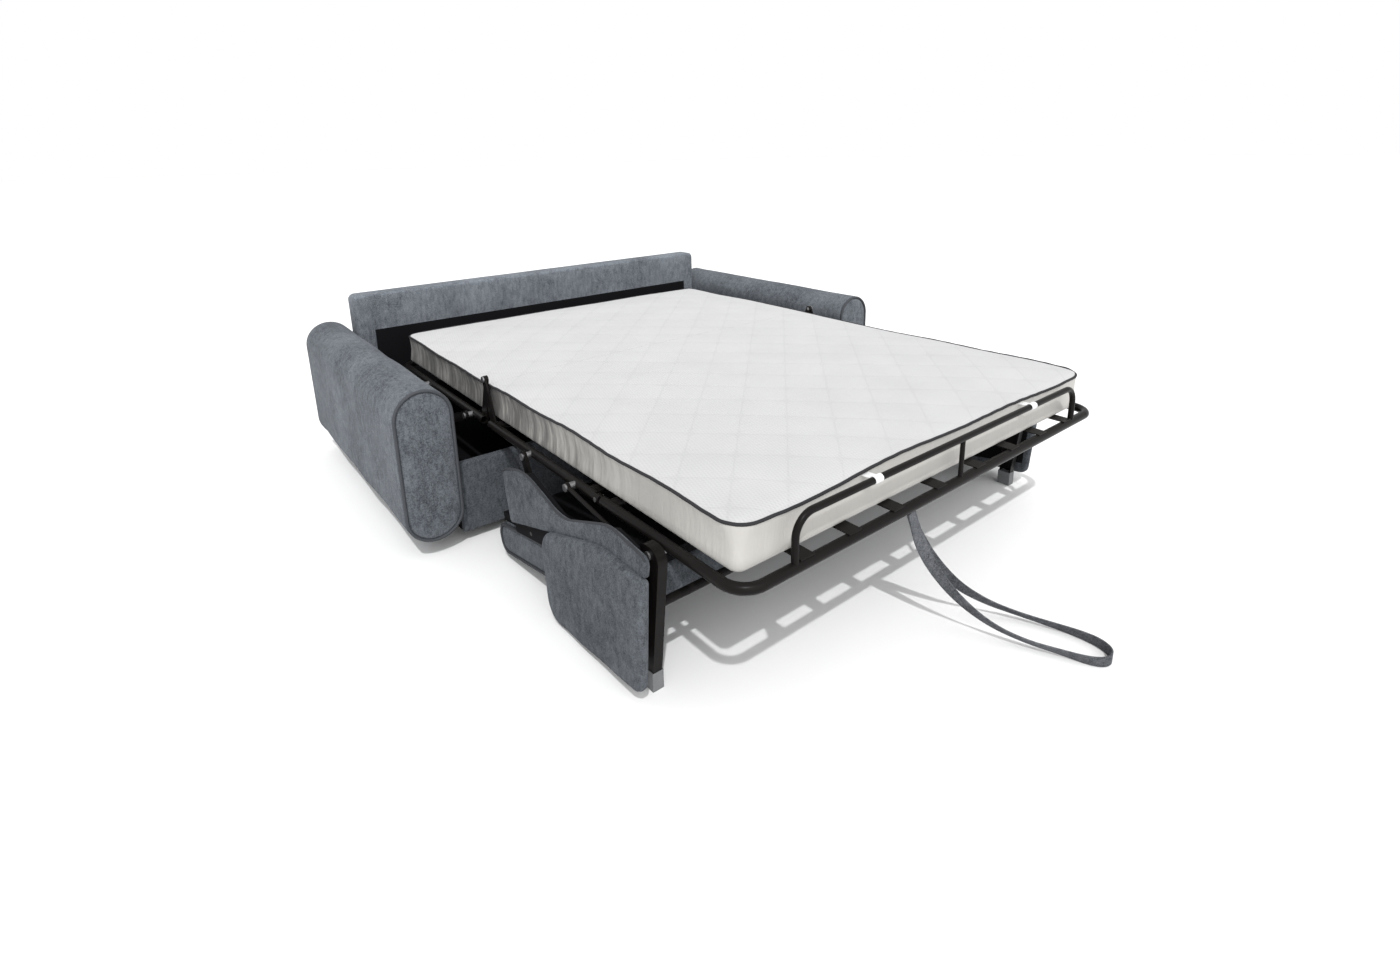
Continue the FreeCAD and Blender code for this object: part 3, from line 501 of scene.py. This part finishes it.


# mattress: quilted top, gathered border, piping on the top edge; cut in two at the head fold
mattressSpec = dict(
    half=0.70, length=1.92, bottom=0.3603, thick=0.105, corner=0.055, lowCorner=0.026, step=0.010,
    fold=1.12, foldGap=0.0002, footFold=0.47, bend=0.09, under=0.985,
    crown=0.009, crownMargin=0.17, crownPower=0.8, puff=0.0022, puffPower=0.4, puffLevel=0.8,
    calm=0.03, edgeDrop=0.003, sway=0.0062, swaySize=0.5, swaySeed=5, swayCalmed=0.6,
    creases=8, creaseLengths=(0.035, 0.16), creaseLevel=4, creaseDeep=0.0022, creaseFrom=0.5, creaseOver=1.2,
    creaseLeast=0.15, tuck=0.0045,
    piping=0.0038, cordGap=0.0008, cordInset=0.0018, cordDrop=0.0035, cordWave=0.0006,
    border=((0.985, 0.0), (0.955, -0.0035), (0.90, -0.003), (0.75, 0.0005), (0.5, 0.003), (0.25, 0.0005),
            (0.10, -0.002), (0.04, 0.0), (0.0, 0.006)))
tiny = 1e-6


def mattressOutline(s, span, soft, grid, r):  # a square grid bent to corners of radius r at the soft ends
    x, y = grid
    half = s["half"]
    a = np.clip((np.abs(x) - (half - r)) / r, 0, 1)
    near = np.clip(((span[0] + r) - y) / r, 0, 1) * soft[0]
    far = np.clip((y - (span[1] - r)) / r, 0, 1) * soft[1]
    b = np.maximum(near, far)
    corner = (a > 0) & (b > 0)
    outX = np.sign(x) * (half - r + a * np.sqrt(1 - b * b / 2) * r)
    reach = r - b * np.sqrt(1 - a * a / 2) * r
    outY = np.where(near > far, span[0] + reach, span[1] - reach)
    return np.where(corner, outX, x), np.where(corner, outY, y)


def outwardOf(ring, cut, half):  # level directions out of a ring; a cut end has them only at its two corners
    run = np.roll(ring, -1, 0) - np.roll(ring, 1, 0)
    out = np.stack([run[:, 1], -run[:, 0], np.zeros(len(ring))], -1)
    out /= np.linalg.norm(out, axis=1, keepdims=True)
    sideways = np.stack([np.sign(ring[:, 0]), np.zeros(len(ring)), np.zeros(len(ring))], -1)
    sideways[np.abs(ring[:, 0]) < half - tiny] = 0.0
    return np.where(cut[:, None], sideways, out)


def mattressTop(s, span, soft, gx, gy):  # the quilted face on its grid, and how far the slow waves lift it
    x, y = mattressOutline(s, span, soft, (gx, gy), s["corner"])
    edge = s["half"] - np.abs(gx)
    edge = np.minimum(edge, gy - span[0]) if soft[0] else edge
    edge = np.minimum(edge, span[1] - gy) if soft[1] else edge
    k = math.pi / quiltSpec["pitch"]
    centred = y - bedShift
    diamond = np.abs(np.sin((x + centred) * k)) * np.abs(np.sin((x - centred) * k))
    calm = np.clip(edge / s["calm"], 0, 1)
    flat = np.stack([x, y, np.zeros_like(x)], -1)
    sway = ripples(flat, s["swaySize"], s["swaySeed"]) * s["sway"] * (1 - s["swayCalmed"] * calm)
    z = s["bottom"] + s["thick"] - s["edgeDrop"] * (1 - calm) ** 2
    z = z + s["crown"] * np.clip(edge / s["crownMargin"], 0, 1) ** s["crownPower"]
    z = z + s["puff"] * (diamond ** s["puffPower"] - s["puffLevel"]) * calm + sway
    return np.stack([x, centred, z], -1).reshape(-1, 3), sway.ravel()


def creasesAlong(s, rim, seed):  # short waves along the border, about -1 to 1
    rng = np.random.default_rng(seed)
    run = np.concatenate([[0], np.cumsum(np.linalg.norm(np.diff(rim, axis=0), axis=1))])
    waves = zip(rng.uniform(*s["creaseLengths"], s["creases"]), rng.uniform(0, 2 * np.pi, s["creases"]))
    return sum(np.sin(run * 2 * np.pi / length + phase) for length, phase in waves) / s["creaseLevel"]


def makeMattress(s, name, span, soft, seed):
    y0, y1 = span
    nx = int(round(2 * s["half"] / s["step"])) + 1
    ny = int(round((y1 - y0) / s["step"])) + 1
    gy, gx = np.meshgrid(np.linspace(y0, y1, ny), np.linspace(-s["half"], s["half"], nx), indexing="ij")
    grid, sway = mattressTop(s, span, soft, gx, gy)
    index = np.arange(nx * ny).reshape(ny, nx)
    loop = np.concatenate([index[0, :-1], index[:-1, -1], index[-1, :0:-1], index[:0:-1, 0]])
    rim, lift = grid[loop], sway[loop]
    edgeX, edgeY = gx.ravel()[loop], gy.ravel()[loop]
    cut = (np.abs(edgeY - y0) < tiny) & (not soft[0]) | (np.abs(edgeY - y1) < tiny) & (not soft[1])
    crease = creasesAlong(s, rim, seed)
    headward = np.clip((edgeY - s["creaseFrom"]) / s["creaseOver"], s["creaseLeast"], 1.0)
    rows = []
    for share, inset in s["border"]:
        r = s["lowCorner"] + (s["corner"] - s["lowCorner"]) * share ** 2
        ringX, ringY = mattressOutline(s, span, soft, (edgeX, edgeY), r)
        ring = np.stack([ringX, ringY - bedShift, s["bottom"] + share * (s["thick"] + lift)], -1)
        gather = s["creaseDeep"] * crease * headward * math.sin(math.pi * share)
        rows.append(ring - outwardOf(ring, cut, s["half"]) * (inset + s["tuck"] + gather)[:, None])
    lowX, lowY = mattressOutline(s, span, soft, (gx, gy), s["lowCorner"])
    lowY = y1 - (y1 - lowY) * s["under"] if soft[0] else y0 + (lowY - y0) * s["under"]
    under = np.stack([lowX * s["under"], lowY - bedShift, np.full_like(lowX, s["bottom"])], -1).reshape(-1, 3)
    under[loop] = rows.pop()
    count = len(loop)
    underStart = len(grid) + len(rows) * count
    rowIndex = [len(grid) + i * count + np.arange(count) for i in range(len(rows))]
    rowIndex = [loop] + rowIndex + [underStart + loop]
    flats = gridFaces(ny, nx, False)
    sides = [np.stack([upper, lower, np.roll(lower, -1), np.roll(upper, -1)], -1)
             for upper, lower in zip(rowIndex, rowIndex[1:])]
    faces = np.concatenate([flats, flats[:, ::-1] + underStart] + sides)
    piece = makePiece(name, np.concatenate([grid] + rows + [under]), faces, None, weld=False, sharp=62)
    piece.data.materials.append(quiltCloth)
    piece.data.materials.append(sideCloth)
    which = np.ones(len(faces), np.int32)
    which[:2 * len(flats)] = 0
    piece.data.polygons.foreach_set("material_index", which)
    ring = rim - outwardOf(rim, cut, s["half"]) * s["cordInset"]
    ring[:, 1] = np.clip(ring[:, 1], y0 + s["cordGap"] - bedShift, y1 - s["cordGap"] - bedShift)
    ring[:, 2] = s["bottom"] + s["thick"] - s["cordDrop"] + lift + s["cordWave"] * crease
    keep = ~cut | (np.abs(rim[:, 0]) > s["half"] - tiny)
    order = (np.arange(count) + np.where(keep & ~np.roll(keep, 1))[0][0]) % count
    tube = tubeAlong(ring[order][keep[order]], s["piping"], (0, 0, 1.0), closed=False)
    cord = makePiece(name + "Piping", *tube, blackPiping)
    return piece, cord


def makeMattresses(s):
    headSpan, bodySpan = (s["fold"] + s["foldGap"], s["length"]), (0.0, s["fold"] - s["foldGap"])
    head, headCord = makeMattress(s, "headMattress", headSpan, (False, True), 11)
    for piece in (head, headCord):
        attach(piece, "head_section")
    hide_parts("head_mattress")
    body, bodyCord = makeMattress(s, "bedMattress", bodySpan, (True, False), 12)
    for piece in (body, bodyCord):
        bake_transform(piece)
    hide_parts("seat_mattress", "foot_mattress")
    print("stage: mattress")


makeMattresses(mattressSpec)


# arms: one band round a stadium, a panel at each end, piping between them
armSpec = dict(
    inner=0.836, width=0.169, low=0.050, high=0.512, front=1.05, back=2.16, seam=0.0054, piping=0.0048,
    plain=0.05, plainRows=44, waves=((0.35, 0.0016), (0.12, 0.0007)), settle=0.0012, fade=0.06,
    end=((0.0030, 0.0845), (0.0026, 0.066), (0.0022, 0.050), (0.0020, 0.038), (0.0021, 0.028),
         (0.0026, 0.020), (0.0036, 0.0145), (0.0056, 0.0110), (0.0090, 0.0085), (0.0112, 0.0060),
         (0.0112, 0.0030), (0.0125, 0.0011), (0.0190, 0.0003), (0.0300, 0.0)))  # depth, inset


def stadium(s, inset, count=34, side=26):  # (a, height) points round the arm's end, drawn in by inset
    r = s["width"] / 2
    mid = s["inner"] + r
    lowMid, highMid = s["low"] + r, s["high"] - r
    ang = np.linspace(0, np.pi, count)
    rr = max(r - inset, 0.0)
    topArc = np.stack([mid + rr * np.cos(ang), highMid + rr * np.sin(ang)], -1)
    lowArc = np.stack([mid - rr * np.cos(ang), lowMid - rr * np.sin(ang)], -1)
    f = np.linspace(0, 1, side + 2)[1:-1, None]
    down, up = topArc[-1] * (1 - f) + lowArc[0] * f, lowArc[-1] * (1 - f) + topArc[0] * f
    return np.concatenate([topArc, down, lowArc, up])


def endedLevels(s, depth):  # (depth, inset) rows: the end rows, plain rows, the end rows turned round
    plain = [(t, 0.0) for t in np.linspace(s["plain"], depth - s["plain"], s["plainRows"])]
    return list(s["end"]) + plain + [(depth - t, inset) for t, inset in s["end"][::-1]]


def makeArm(s, name, sign, seed):
    r = s["width"] / 2
    depth = s["back"] - s["front"]
    levels = endedLevels(s, depth)
    rows = stack(lambda inset: stadium(s, inset), levels)
    points = np.stack([rows[..., 0], rows[..., 2] + s["front"] - bedShift, rows[..., 1]], -1)
    count = points.shape[1]
    push = sum(ripples(points, size, seed + i) * high for i, (size, high) in enumerate(s["waves"]))
    fade = np.clip(np.minimum(rows[..., 2], depth - rows[..., 2]) / s["fade"], 0, 1)
    core = np.clip(points[..., 2], s["low"] + r, s["high"] - r)
    centre = np.stack([np.full(points.shape[:2], s["inner"] + r), points[..., 1], core], -1)
    outward = points - centre
    outward /= np.maximum(np.linalg.norm(outward, axis=-1, keepdims=True), tiny)
    points = points + outward * ((push - s["settle"]) * fade)[..., None]
    points[..., 0] *= sign
    piece = makePiece(name, points, gridFaces(len(levels), count, True), chenilleCloth, sharp=80)
    cords = []
    for y in (s["front"] + s["seam"], s["back"] - s["seam"]):
        ring = stadium(s, s["seam"])
        path = np.stack([ring[:, 0] * sign, np.full(len(ring), y - bedShift), ring[:, 1]], -1)
        cords.append(tubeAlong(path, s["piping"], (0, 1.0, 0)))
    cord = makePiece(name + "Piping", *joinParts(cords), bluePiping)
    for x in (piece, cord):
        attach(x, "base")
    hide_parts("left_arm" if sign < 0 else "right_arm")


makeArm(armSpec, "leftArm", -1, 21)
makeArm(armSpec, "rightArm", 1, 31)
print("stage: arms")


# upholstered boards: a rounded outline with its edges rolled over
boardSpec = dict(
    backPanel=dict(node="back_panel", body="base", x=(-0.836, 0.836), y=(2.067, 2.155), z=(0.033, 0.612),
                   radii=(0.006, 0.006, 0.024, 0.024), roll=0.012, cloth=backClothPaintedLight),
    frontRail=dict(node="front_rail", body="base", x=(-0.836, 0.836), y=(1.075, 1.103), z=(0.033, 0.255),
                   radii=(0.006, 0.006, 0.008, 0.008), roll=0.007, cloth=railClothPaintedShade),
)
boardWave = dict(size=0.4, seed=41, high=0.0012, fade=0.08)


def rolledLevels(depth, roll, reach, faceRows=9, edgeRows=6):  # (depth, inset) pairs from face to face
    face = [(0.0, roll + (reach - roll) * (1 - t)) for t in np.linspace(0, 1, faceRows)[:-1]]
    edge = [(roll * (1 - math.cos(a)), roll * (1 - math.sin(a))) for a in np.linspace(0, np.pi / 2, edgeRows)]
    first = face + edge
    return first + [(depth / 2, 0.0)] + [(depth - h, inset) for h, inset in first[::-1]]


def makeBoard(name, s):
    x0, x1 = s["x"]
    z0, z1 = s["z"]
    levels = rolledLevels(s["y"][1] - s["y"][0], s["roll"], (z1 - z0) / 2)
    rows = stack(lambda inset: roundRect(x0, x1, z0, z1, s["radii"], inset, arc=8, side=60), levels)
    points = np.stack([rows[..., 0], rows[..., 2] + s["y"][0] - bedShift, rows[..., 1]], -1)
    push = ripples(points, boardWave["size"], boardWave["seed"]) * boardWave["high"]
    points[..., 1] += push * np.clip((rows[..., 1] - z0) / boardWave["fade"], 0, 1)
    piece = makePiece(name, points, gridFaces(len(levels), points.shape[1], True), s["cloth"], sharp=70)
    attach(piece, s["body"])
    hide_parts(s["node"])


for boardName, board in boardSpec.items():
    makeBoard(boardName, board)
print("stage: boards")


# seat pack: hangs tilted under the bed, so its shapes are laid out square and then set in place
packSpec = dict(tilt=math.radians(10.7), pivotY=0.7198248, pivotZ=0.1664830)
packUp = np.array([0.0, math.sin(packSpec["tilt"]), math.cos(packSpec["tilt"])])


def setPack(points):
    a = packSpec["tilt"]
    y = points[..., 1] * math.cos(a) + points[..., 2] * math.sin(a)
    z = -points[..., 1] * math.sin(a) + points[..., 2] * math.cos(a)
    return np.stack([points[..., 0], y + packSpec["pivotY"] - bedShift, z + packSpec["pivotZ"]], -1)


cushionSpec = dict(
    half=0.780, back=-0.436, front=0.240, top=-0.0153, thick=0.095, crown=0.012, margin=0.13,
    radii=(0.020, 0.042, 0.042, 0.020), seam=0.0050, piping=0.0046, plain=0.045, plainRows=60,
    waveSize=0.25, waveSeed=51, waveHigh=0.0015,
    end=((0.0034, 0.0475), (0.0028, 0.036), (0.0024, 0.027), (0.0024, 0.020), (0.0036, 0.0140),
         (0.0056, 0.0106), (0.0088, 0.0082), (0.0108, 0.0058), (0.0108, 0.0028), (0.0122, 0.0010),
         (0.0190, 0.0003), (0.0300, 0.0)))


def makeCushion(s):  # the side's outline carried across, drawn in at both ends, crowned on the seat
    low, high = s["top"] - s["thick"], s["top"]

    def outline(inset):
        return roundRect(s["back"], s["front"], low, high, s["radii"], inset, arc=10, side=44)

    levels = endedLevels(s, 2 * s["half"])
    rows = stack(outline, levels)
    points = np.stack([rows[..., 2] - s["half"], rows[..., 0], rows[..., 1]], -1)
    lengthways = np.minimum(points[..., 1] - s["back"], s["front"] - points[..., 1])
    inward = np.minimum(s["half"] - np.abs(points[..., 0]), lengthways)
    rise = 1 - (1 - np.clip(inward / s["margin"], 0, 1)) ** 2
    lower = np.clip((high - points[..., 2]) / s["thick"] * 2 - 1, 0, 1)
    wave = ripples(points, s["waveSize"], s["waveSeed"]) * s["waveHigh"]
    points[..., 2] -= lower * rise * (s["crown"] + wave)
    faces = gridFaces(len(levels), points.shape[1], True)
    piece = makePiece("seatCushion", setPack(points), faces, packClothPaintedShade, sharp=80)
    ring = outline(s["seam"])
    cords = []
    for x in (-s["half"] + s["seam"], s["half"] - s["seam"]):
        path = setPack(np.c_[np.full(len(ring), x), ring])
        cords.append(tubeAlong(path, s["piping"], (1.0, 0, 0)))
    cord = makePiece("seatCushionPiping", *joinParts(cords), packPipingPaintedShade)
    for part in (piece, cord):
        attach(part, "seat_pack")
    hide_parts("seat_cushion")


makeCushion(cushionSpec)

wingSpec = dict(
    inner=0.785, outer=0.8173, swell=0.0012, waveSize=0.16,
    corners=((-0.098, -0.189, 0.060), (-0.506, -0.230, 0.030), (-0.578, 0.040, 0.012), (-0.420, 0.078, 0.250),
             (-0.122, 0.044, 0.060)),
    edge=((0.0, 0.010), (0.06, 0.005), (0.16, 0.0015), (0.3, 0.0), (0.5, 0.0), (0.62, 0.001), (0.74, 0.0035),
          (0.84, 0.008), (0.91, 0.0145), (0.96, 0.023), (0.985, 0.034)),  # share of the depth, inset
    face=((0.8, 0.994), (0.55, 1.0), (0.3, 1.0), (0.12, 1.0), (0.0, 1.0)),  # shares of outline and depth
    back=((0.0, 0.0), (0.5, 0.0)))


def makeWing(s, name, node, sign, seed):  # rings from the back's middle round the edge to the face's middle
    outlines = [roundCorners(drawnIn(s["corners"], inset)) for depth, inset in s["edge"]]
    middle = outlines[-1].mean(0)

    def shrunk(outline, shares):
        return [np.c_[middle + (outline - middle) * share, np.full(len(outline), depth)]
                for share, depth in shares]

    edge = [np.c_[outline, np.full(len(outline), depth)]
            for outline, (depth, inset) in zip(outlines, s["edge"])]
    rows = np.stack(shrunk(outlines[0], s["back"]) + edge + shrunk(outlines[-1], s["face"]))
    thick = s["outer"] - s["inner"]
    points = np.stack([s["inner"] + rows[..., 2] * thick, rows[..., 0], rows[..., 1]], -1)
    swell = s["swell"] * (1 + ripples(points, s["waveSize"], seed))
    points[..., 0] -= np.where(rows[..., 2] > 0.5, swell, 0.0)
    points[..., 0] *= sign
    piece = makePiece(name, setPack(points), gridFaces(len(rows), points.shape[1], True), packClothPaintedShade, sharp=80)
    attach(piece, "seat_pack")
    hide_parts(node)


makeWing(wingSpec, "leftWing", "left_wing", -1, 61)
makeWing(wingSpec, "rightWing", "right_wing", 1, 71)

valanceSpec = dict(
    inside=0.783, thick=0.013, lip=0.757, turn=0.024, straightRows=90, turnRows=10, lipRows=8,
    piping=0.003, seamDeep=0.3, seamDrop=0.0005, waveSize=0.1, waveSeed=81, waveHigh=0.0006,
    corners=((-0.335, 0.064, 0.260), (-0.480, 0.042, 0.150), (-0.577, 0.044, 0.005), (-0.577, 0.088, 0.010),
             (-0.452, 0.130, 0.160), (-0.225, 0.092, 0.160), (-0.040, 0.184, 0.180), (0.112, 0.165, 0.045),
             (0.112, 0.012, 0.025)),
    middle=((-0.577, 0.066), (-0.452, 0.088), (-0.225, 0.074), (0.112, 0.085)),
    section=((0.0, 0.06), (0.0, 0.3), (-0.04, 0.6), (0.0, 0.88), (0.10, 0.95), (0.3, 0.99), (0.5, 1.0),
             (0.75, 0.99), (0.95, 0.95), (1.0, 0.88), (1.0, 0.5), (1.0, 0.06), (0.85, 0.015), (0.5, 0.0),
             (0.15, 0.015)))  # shares of thickness and height


def makeValance(s, sign):  # a strip along the pack's side, wavy above and below, turned in at its rear end
    outline = roundCorners(s["corners"], arc=14, side=24)
    back, front = outline[:, 0].min(), outline[:, 0].max()
    out, r, t = s["inside"] + s["thick"], s["turn"], s["thick"]
    ang = np.linspace(0, np.pi / 2, s["turnRows"])[1:]
    straight = np.linspace(back, front - r, s["straightRows"])
    lip = np.linspace(out - r, s["lip"], s["lipRows"])[1:]
    xs = np.concatenate([np.full(len(straight), out), out - r + r * np.cos(ang), lip])
    ys = np.concatenate([straight, front - r + r * np.sin(ang), np.full(len(lip), front)])
    above = outline[:, 1] > np.interp(outline[:, 0], *np.array(s["middle"]).T)
    heights = []
    for side in (~above, above):
        edge = outline[side][np.argsort(outline[side][:, 0], kind="stable")]
        heights.append(np.interp(ys, edge[:, 0], edge[:, 1])[:, None])
    low, high = heights
    path = np.stack([xs, ys], -1)
    step = np.gradient(path, axis=0)
    step /= np.linalg.norm(step, axis=1, keepdims=True)
    inward = np.stack([-step[:, 1], step[:, 0]], -1)
    deep, up = np.array(s["section"]).T
    x = path[:, :1] + inward[:, :1] * deep * t
    y = path[:, 1:] + inward[:, 1:] * deep * t
    points = np.stack([x, y, low + (high - low) * up], -1)
    points[..., 0] += ripples(points, s["waveSize"], s["waveSeed"]) * s["waveHigh"]
    seam = np.concatenate([path + inward * t * s["seamDeep"], high - s["seamDrop"]], -1)
    for part in (points, seam):
        part[..., 0] *= sign
    cord = tubeAlong(setPack(seam), s["piping"], packUp, sides=8, closed=False)
    return (setPack(points).reshape(-1, 3), cappedFaces(len(path), len(deep))), cord


strips = [makeValance(valanceSpec, sign) for sign in (-1, 1)]
valance = makePiece("sideValances", *joinParts([v for v, c in strips]), packClothPaintedShade, sharp=75)
valanceCord = makePiece("sideValancesPiping", *joinParts([c for v, c in strips]), packPipingPaintedShade)
for strip in (valance, valanceCord):
    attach(strip, "seat_pack")
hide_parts("side_valances")
print("stage: seat pack")


# elastic loops that hold the mattress to the hoop
elasticSpec = dict(place=0.330, width=0.025, rail=-0.030, height=0.455, radius=0.0086, thick=0.0016,
                   turn=(math.radians(15), math.radians(375)), turnRows=40, tailRows=8,
                   tailEnd=(0.004, 0.4553))


def makeElastic(s):  # on each side a ring round the hoop, and a tail from it to the mattress
    parts = []
    for side in (-1, 1):
        ang = np.linspace(*s["turn"], s["turnRows"])
        ring = np.stack([s["rail"] + s["radius"] * np.cos(ang), s["height"] + s["radius"] * np.sin(ang)], -1)
        run = np.linspace(0, 1, s["tailRows"])[:, None]
        tail = ring[:1] * (1 - run) + np.array([s["tailEnd"]]) * run
        for line in (ring, tail):
            step = np.gradient(line, axis=0)
            step /= np.linalg.norm(step, axis=1, keepdims=True)
            up = np.stack([-step[:, 1], step[:, 0]], -1) * s["thick"] / 2
            x = side * s["place"] + s["width"] / 2 * np.array([-1, 1, 1, -1])
            face = np.stack([line + up, line + up, line - up, line - up], 1)
            points = np.stack([np.broadcast_to(x, face.shape[:2]), face[..., 0] - bedShift, face[..., 1]], -1)
            parts.append((points, cappedFaces(len(line), len(x))))
    piece = makePiece("elasticLoops", *joinParts(parts), whiteElastic, weld=False, sharp=40)
    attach(piece, "foot_section")
    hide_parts("elastic_loops")


makeElastic(elasticSpec)


# finishes on the hard pieces
finishOf = {
    tubeFinish: ("mechanism_plates", "front_lift_links", "rear_lift_links", "head_frame", "head_strips",
                 "head_fold_ears", "seat_frame", "seat_strips", "seat_fold_ears", "foot_fold_forks",
                 "foot_frame", "foot_strips", "foot_fold_lugs", "hoop", "hoop_post", "left_leg",
                 "right_leg", "leg_cross_bar", "leg_rods", "pack_links", "pack_pins"),
    pinFinish: ("lift_pivot_pins", "head_link_pins", "fold_pins", "pack_link_pins", "leg_rod_pins",
                "foot_fold_pins", "leg_bolts"),
    blackLining: ("base_side_boards", "floor_board", "back_lining", "deck_board", "pack_side_boards",
                  "wing_boards"),
    glidePlastic: ("arm_feet", "base_feet"),
    footPlastic: ("leg_feet",),
}
for finish, names in finishOf.items():
    for name in names:
        data = nodes[name].data
        data.materials.clear()
        data.materials.append(finish)
print("stage: hard pieces")


# floor and light
lightSpec = dict(world=1.0, floorSize=60.0, floorDrop=0.0005,
                 lamps=(dict(name="keySun", power=1.9, way=(0.38, 0.56, -1.0), spread=math.radians(1.2)),
                        dict(name="frontFill", power=1.0, way=(0.10, 0.80, -0.60), spread=math.radians(70))))


def makeStage(s):
    size, drop = s["floorSize"], -s["floorDrop"]
    corners = [(-size, -size, drop), (size, -size, drop), (size, size, drop), (-size, size, drop)]
    floor = makePiece("floor", corners, [(0, 1, 2, 3)])
    mat, f, spot = startMaterial("paleFloor")
    haze = f.noise(spot, 3.0, 2.0)
    endMaterial(f, {"Base Color": haze.mix(grey(0.79, 0.79, 0.79), grey(0.81, 0.81, 0.81)), "Roughness": 0.9,
                    "Specular IOR Level": 0.1})
    floor.data.materials.append(mat)
    scene = bpy.context.scene
    scene.view_settings.view_transform = "Standard"
    world = bpy.data.worlds.new("studio")
    world.use_nodes = True
    back = world.node_tree.nodes["Background"]
    back.inputs["Color"].default_value = (1.0, 1.0, 1.0, 1.0)
    back.inputs["Strength"].default_value = s["world"]
    scene.world = world
    for one in s["lamps"]:
        lamp = bpy.data.lights.new(one["name"], "SUN")
        lamp.energy, lamp.angle = one["power"], one["spread"]
        holder = bpy.data.objects.new(one["name"], lamp)
        holder.rotation_euler = Vector(one["way"]).to_track_quat("-Z", "Y").to_euler()
        bpy.context.collection.objects.link(holder)


makeStage(lightSpec)
print("stage: light")
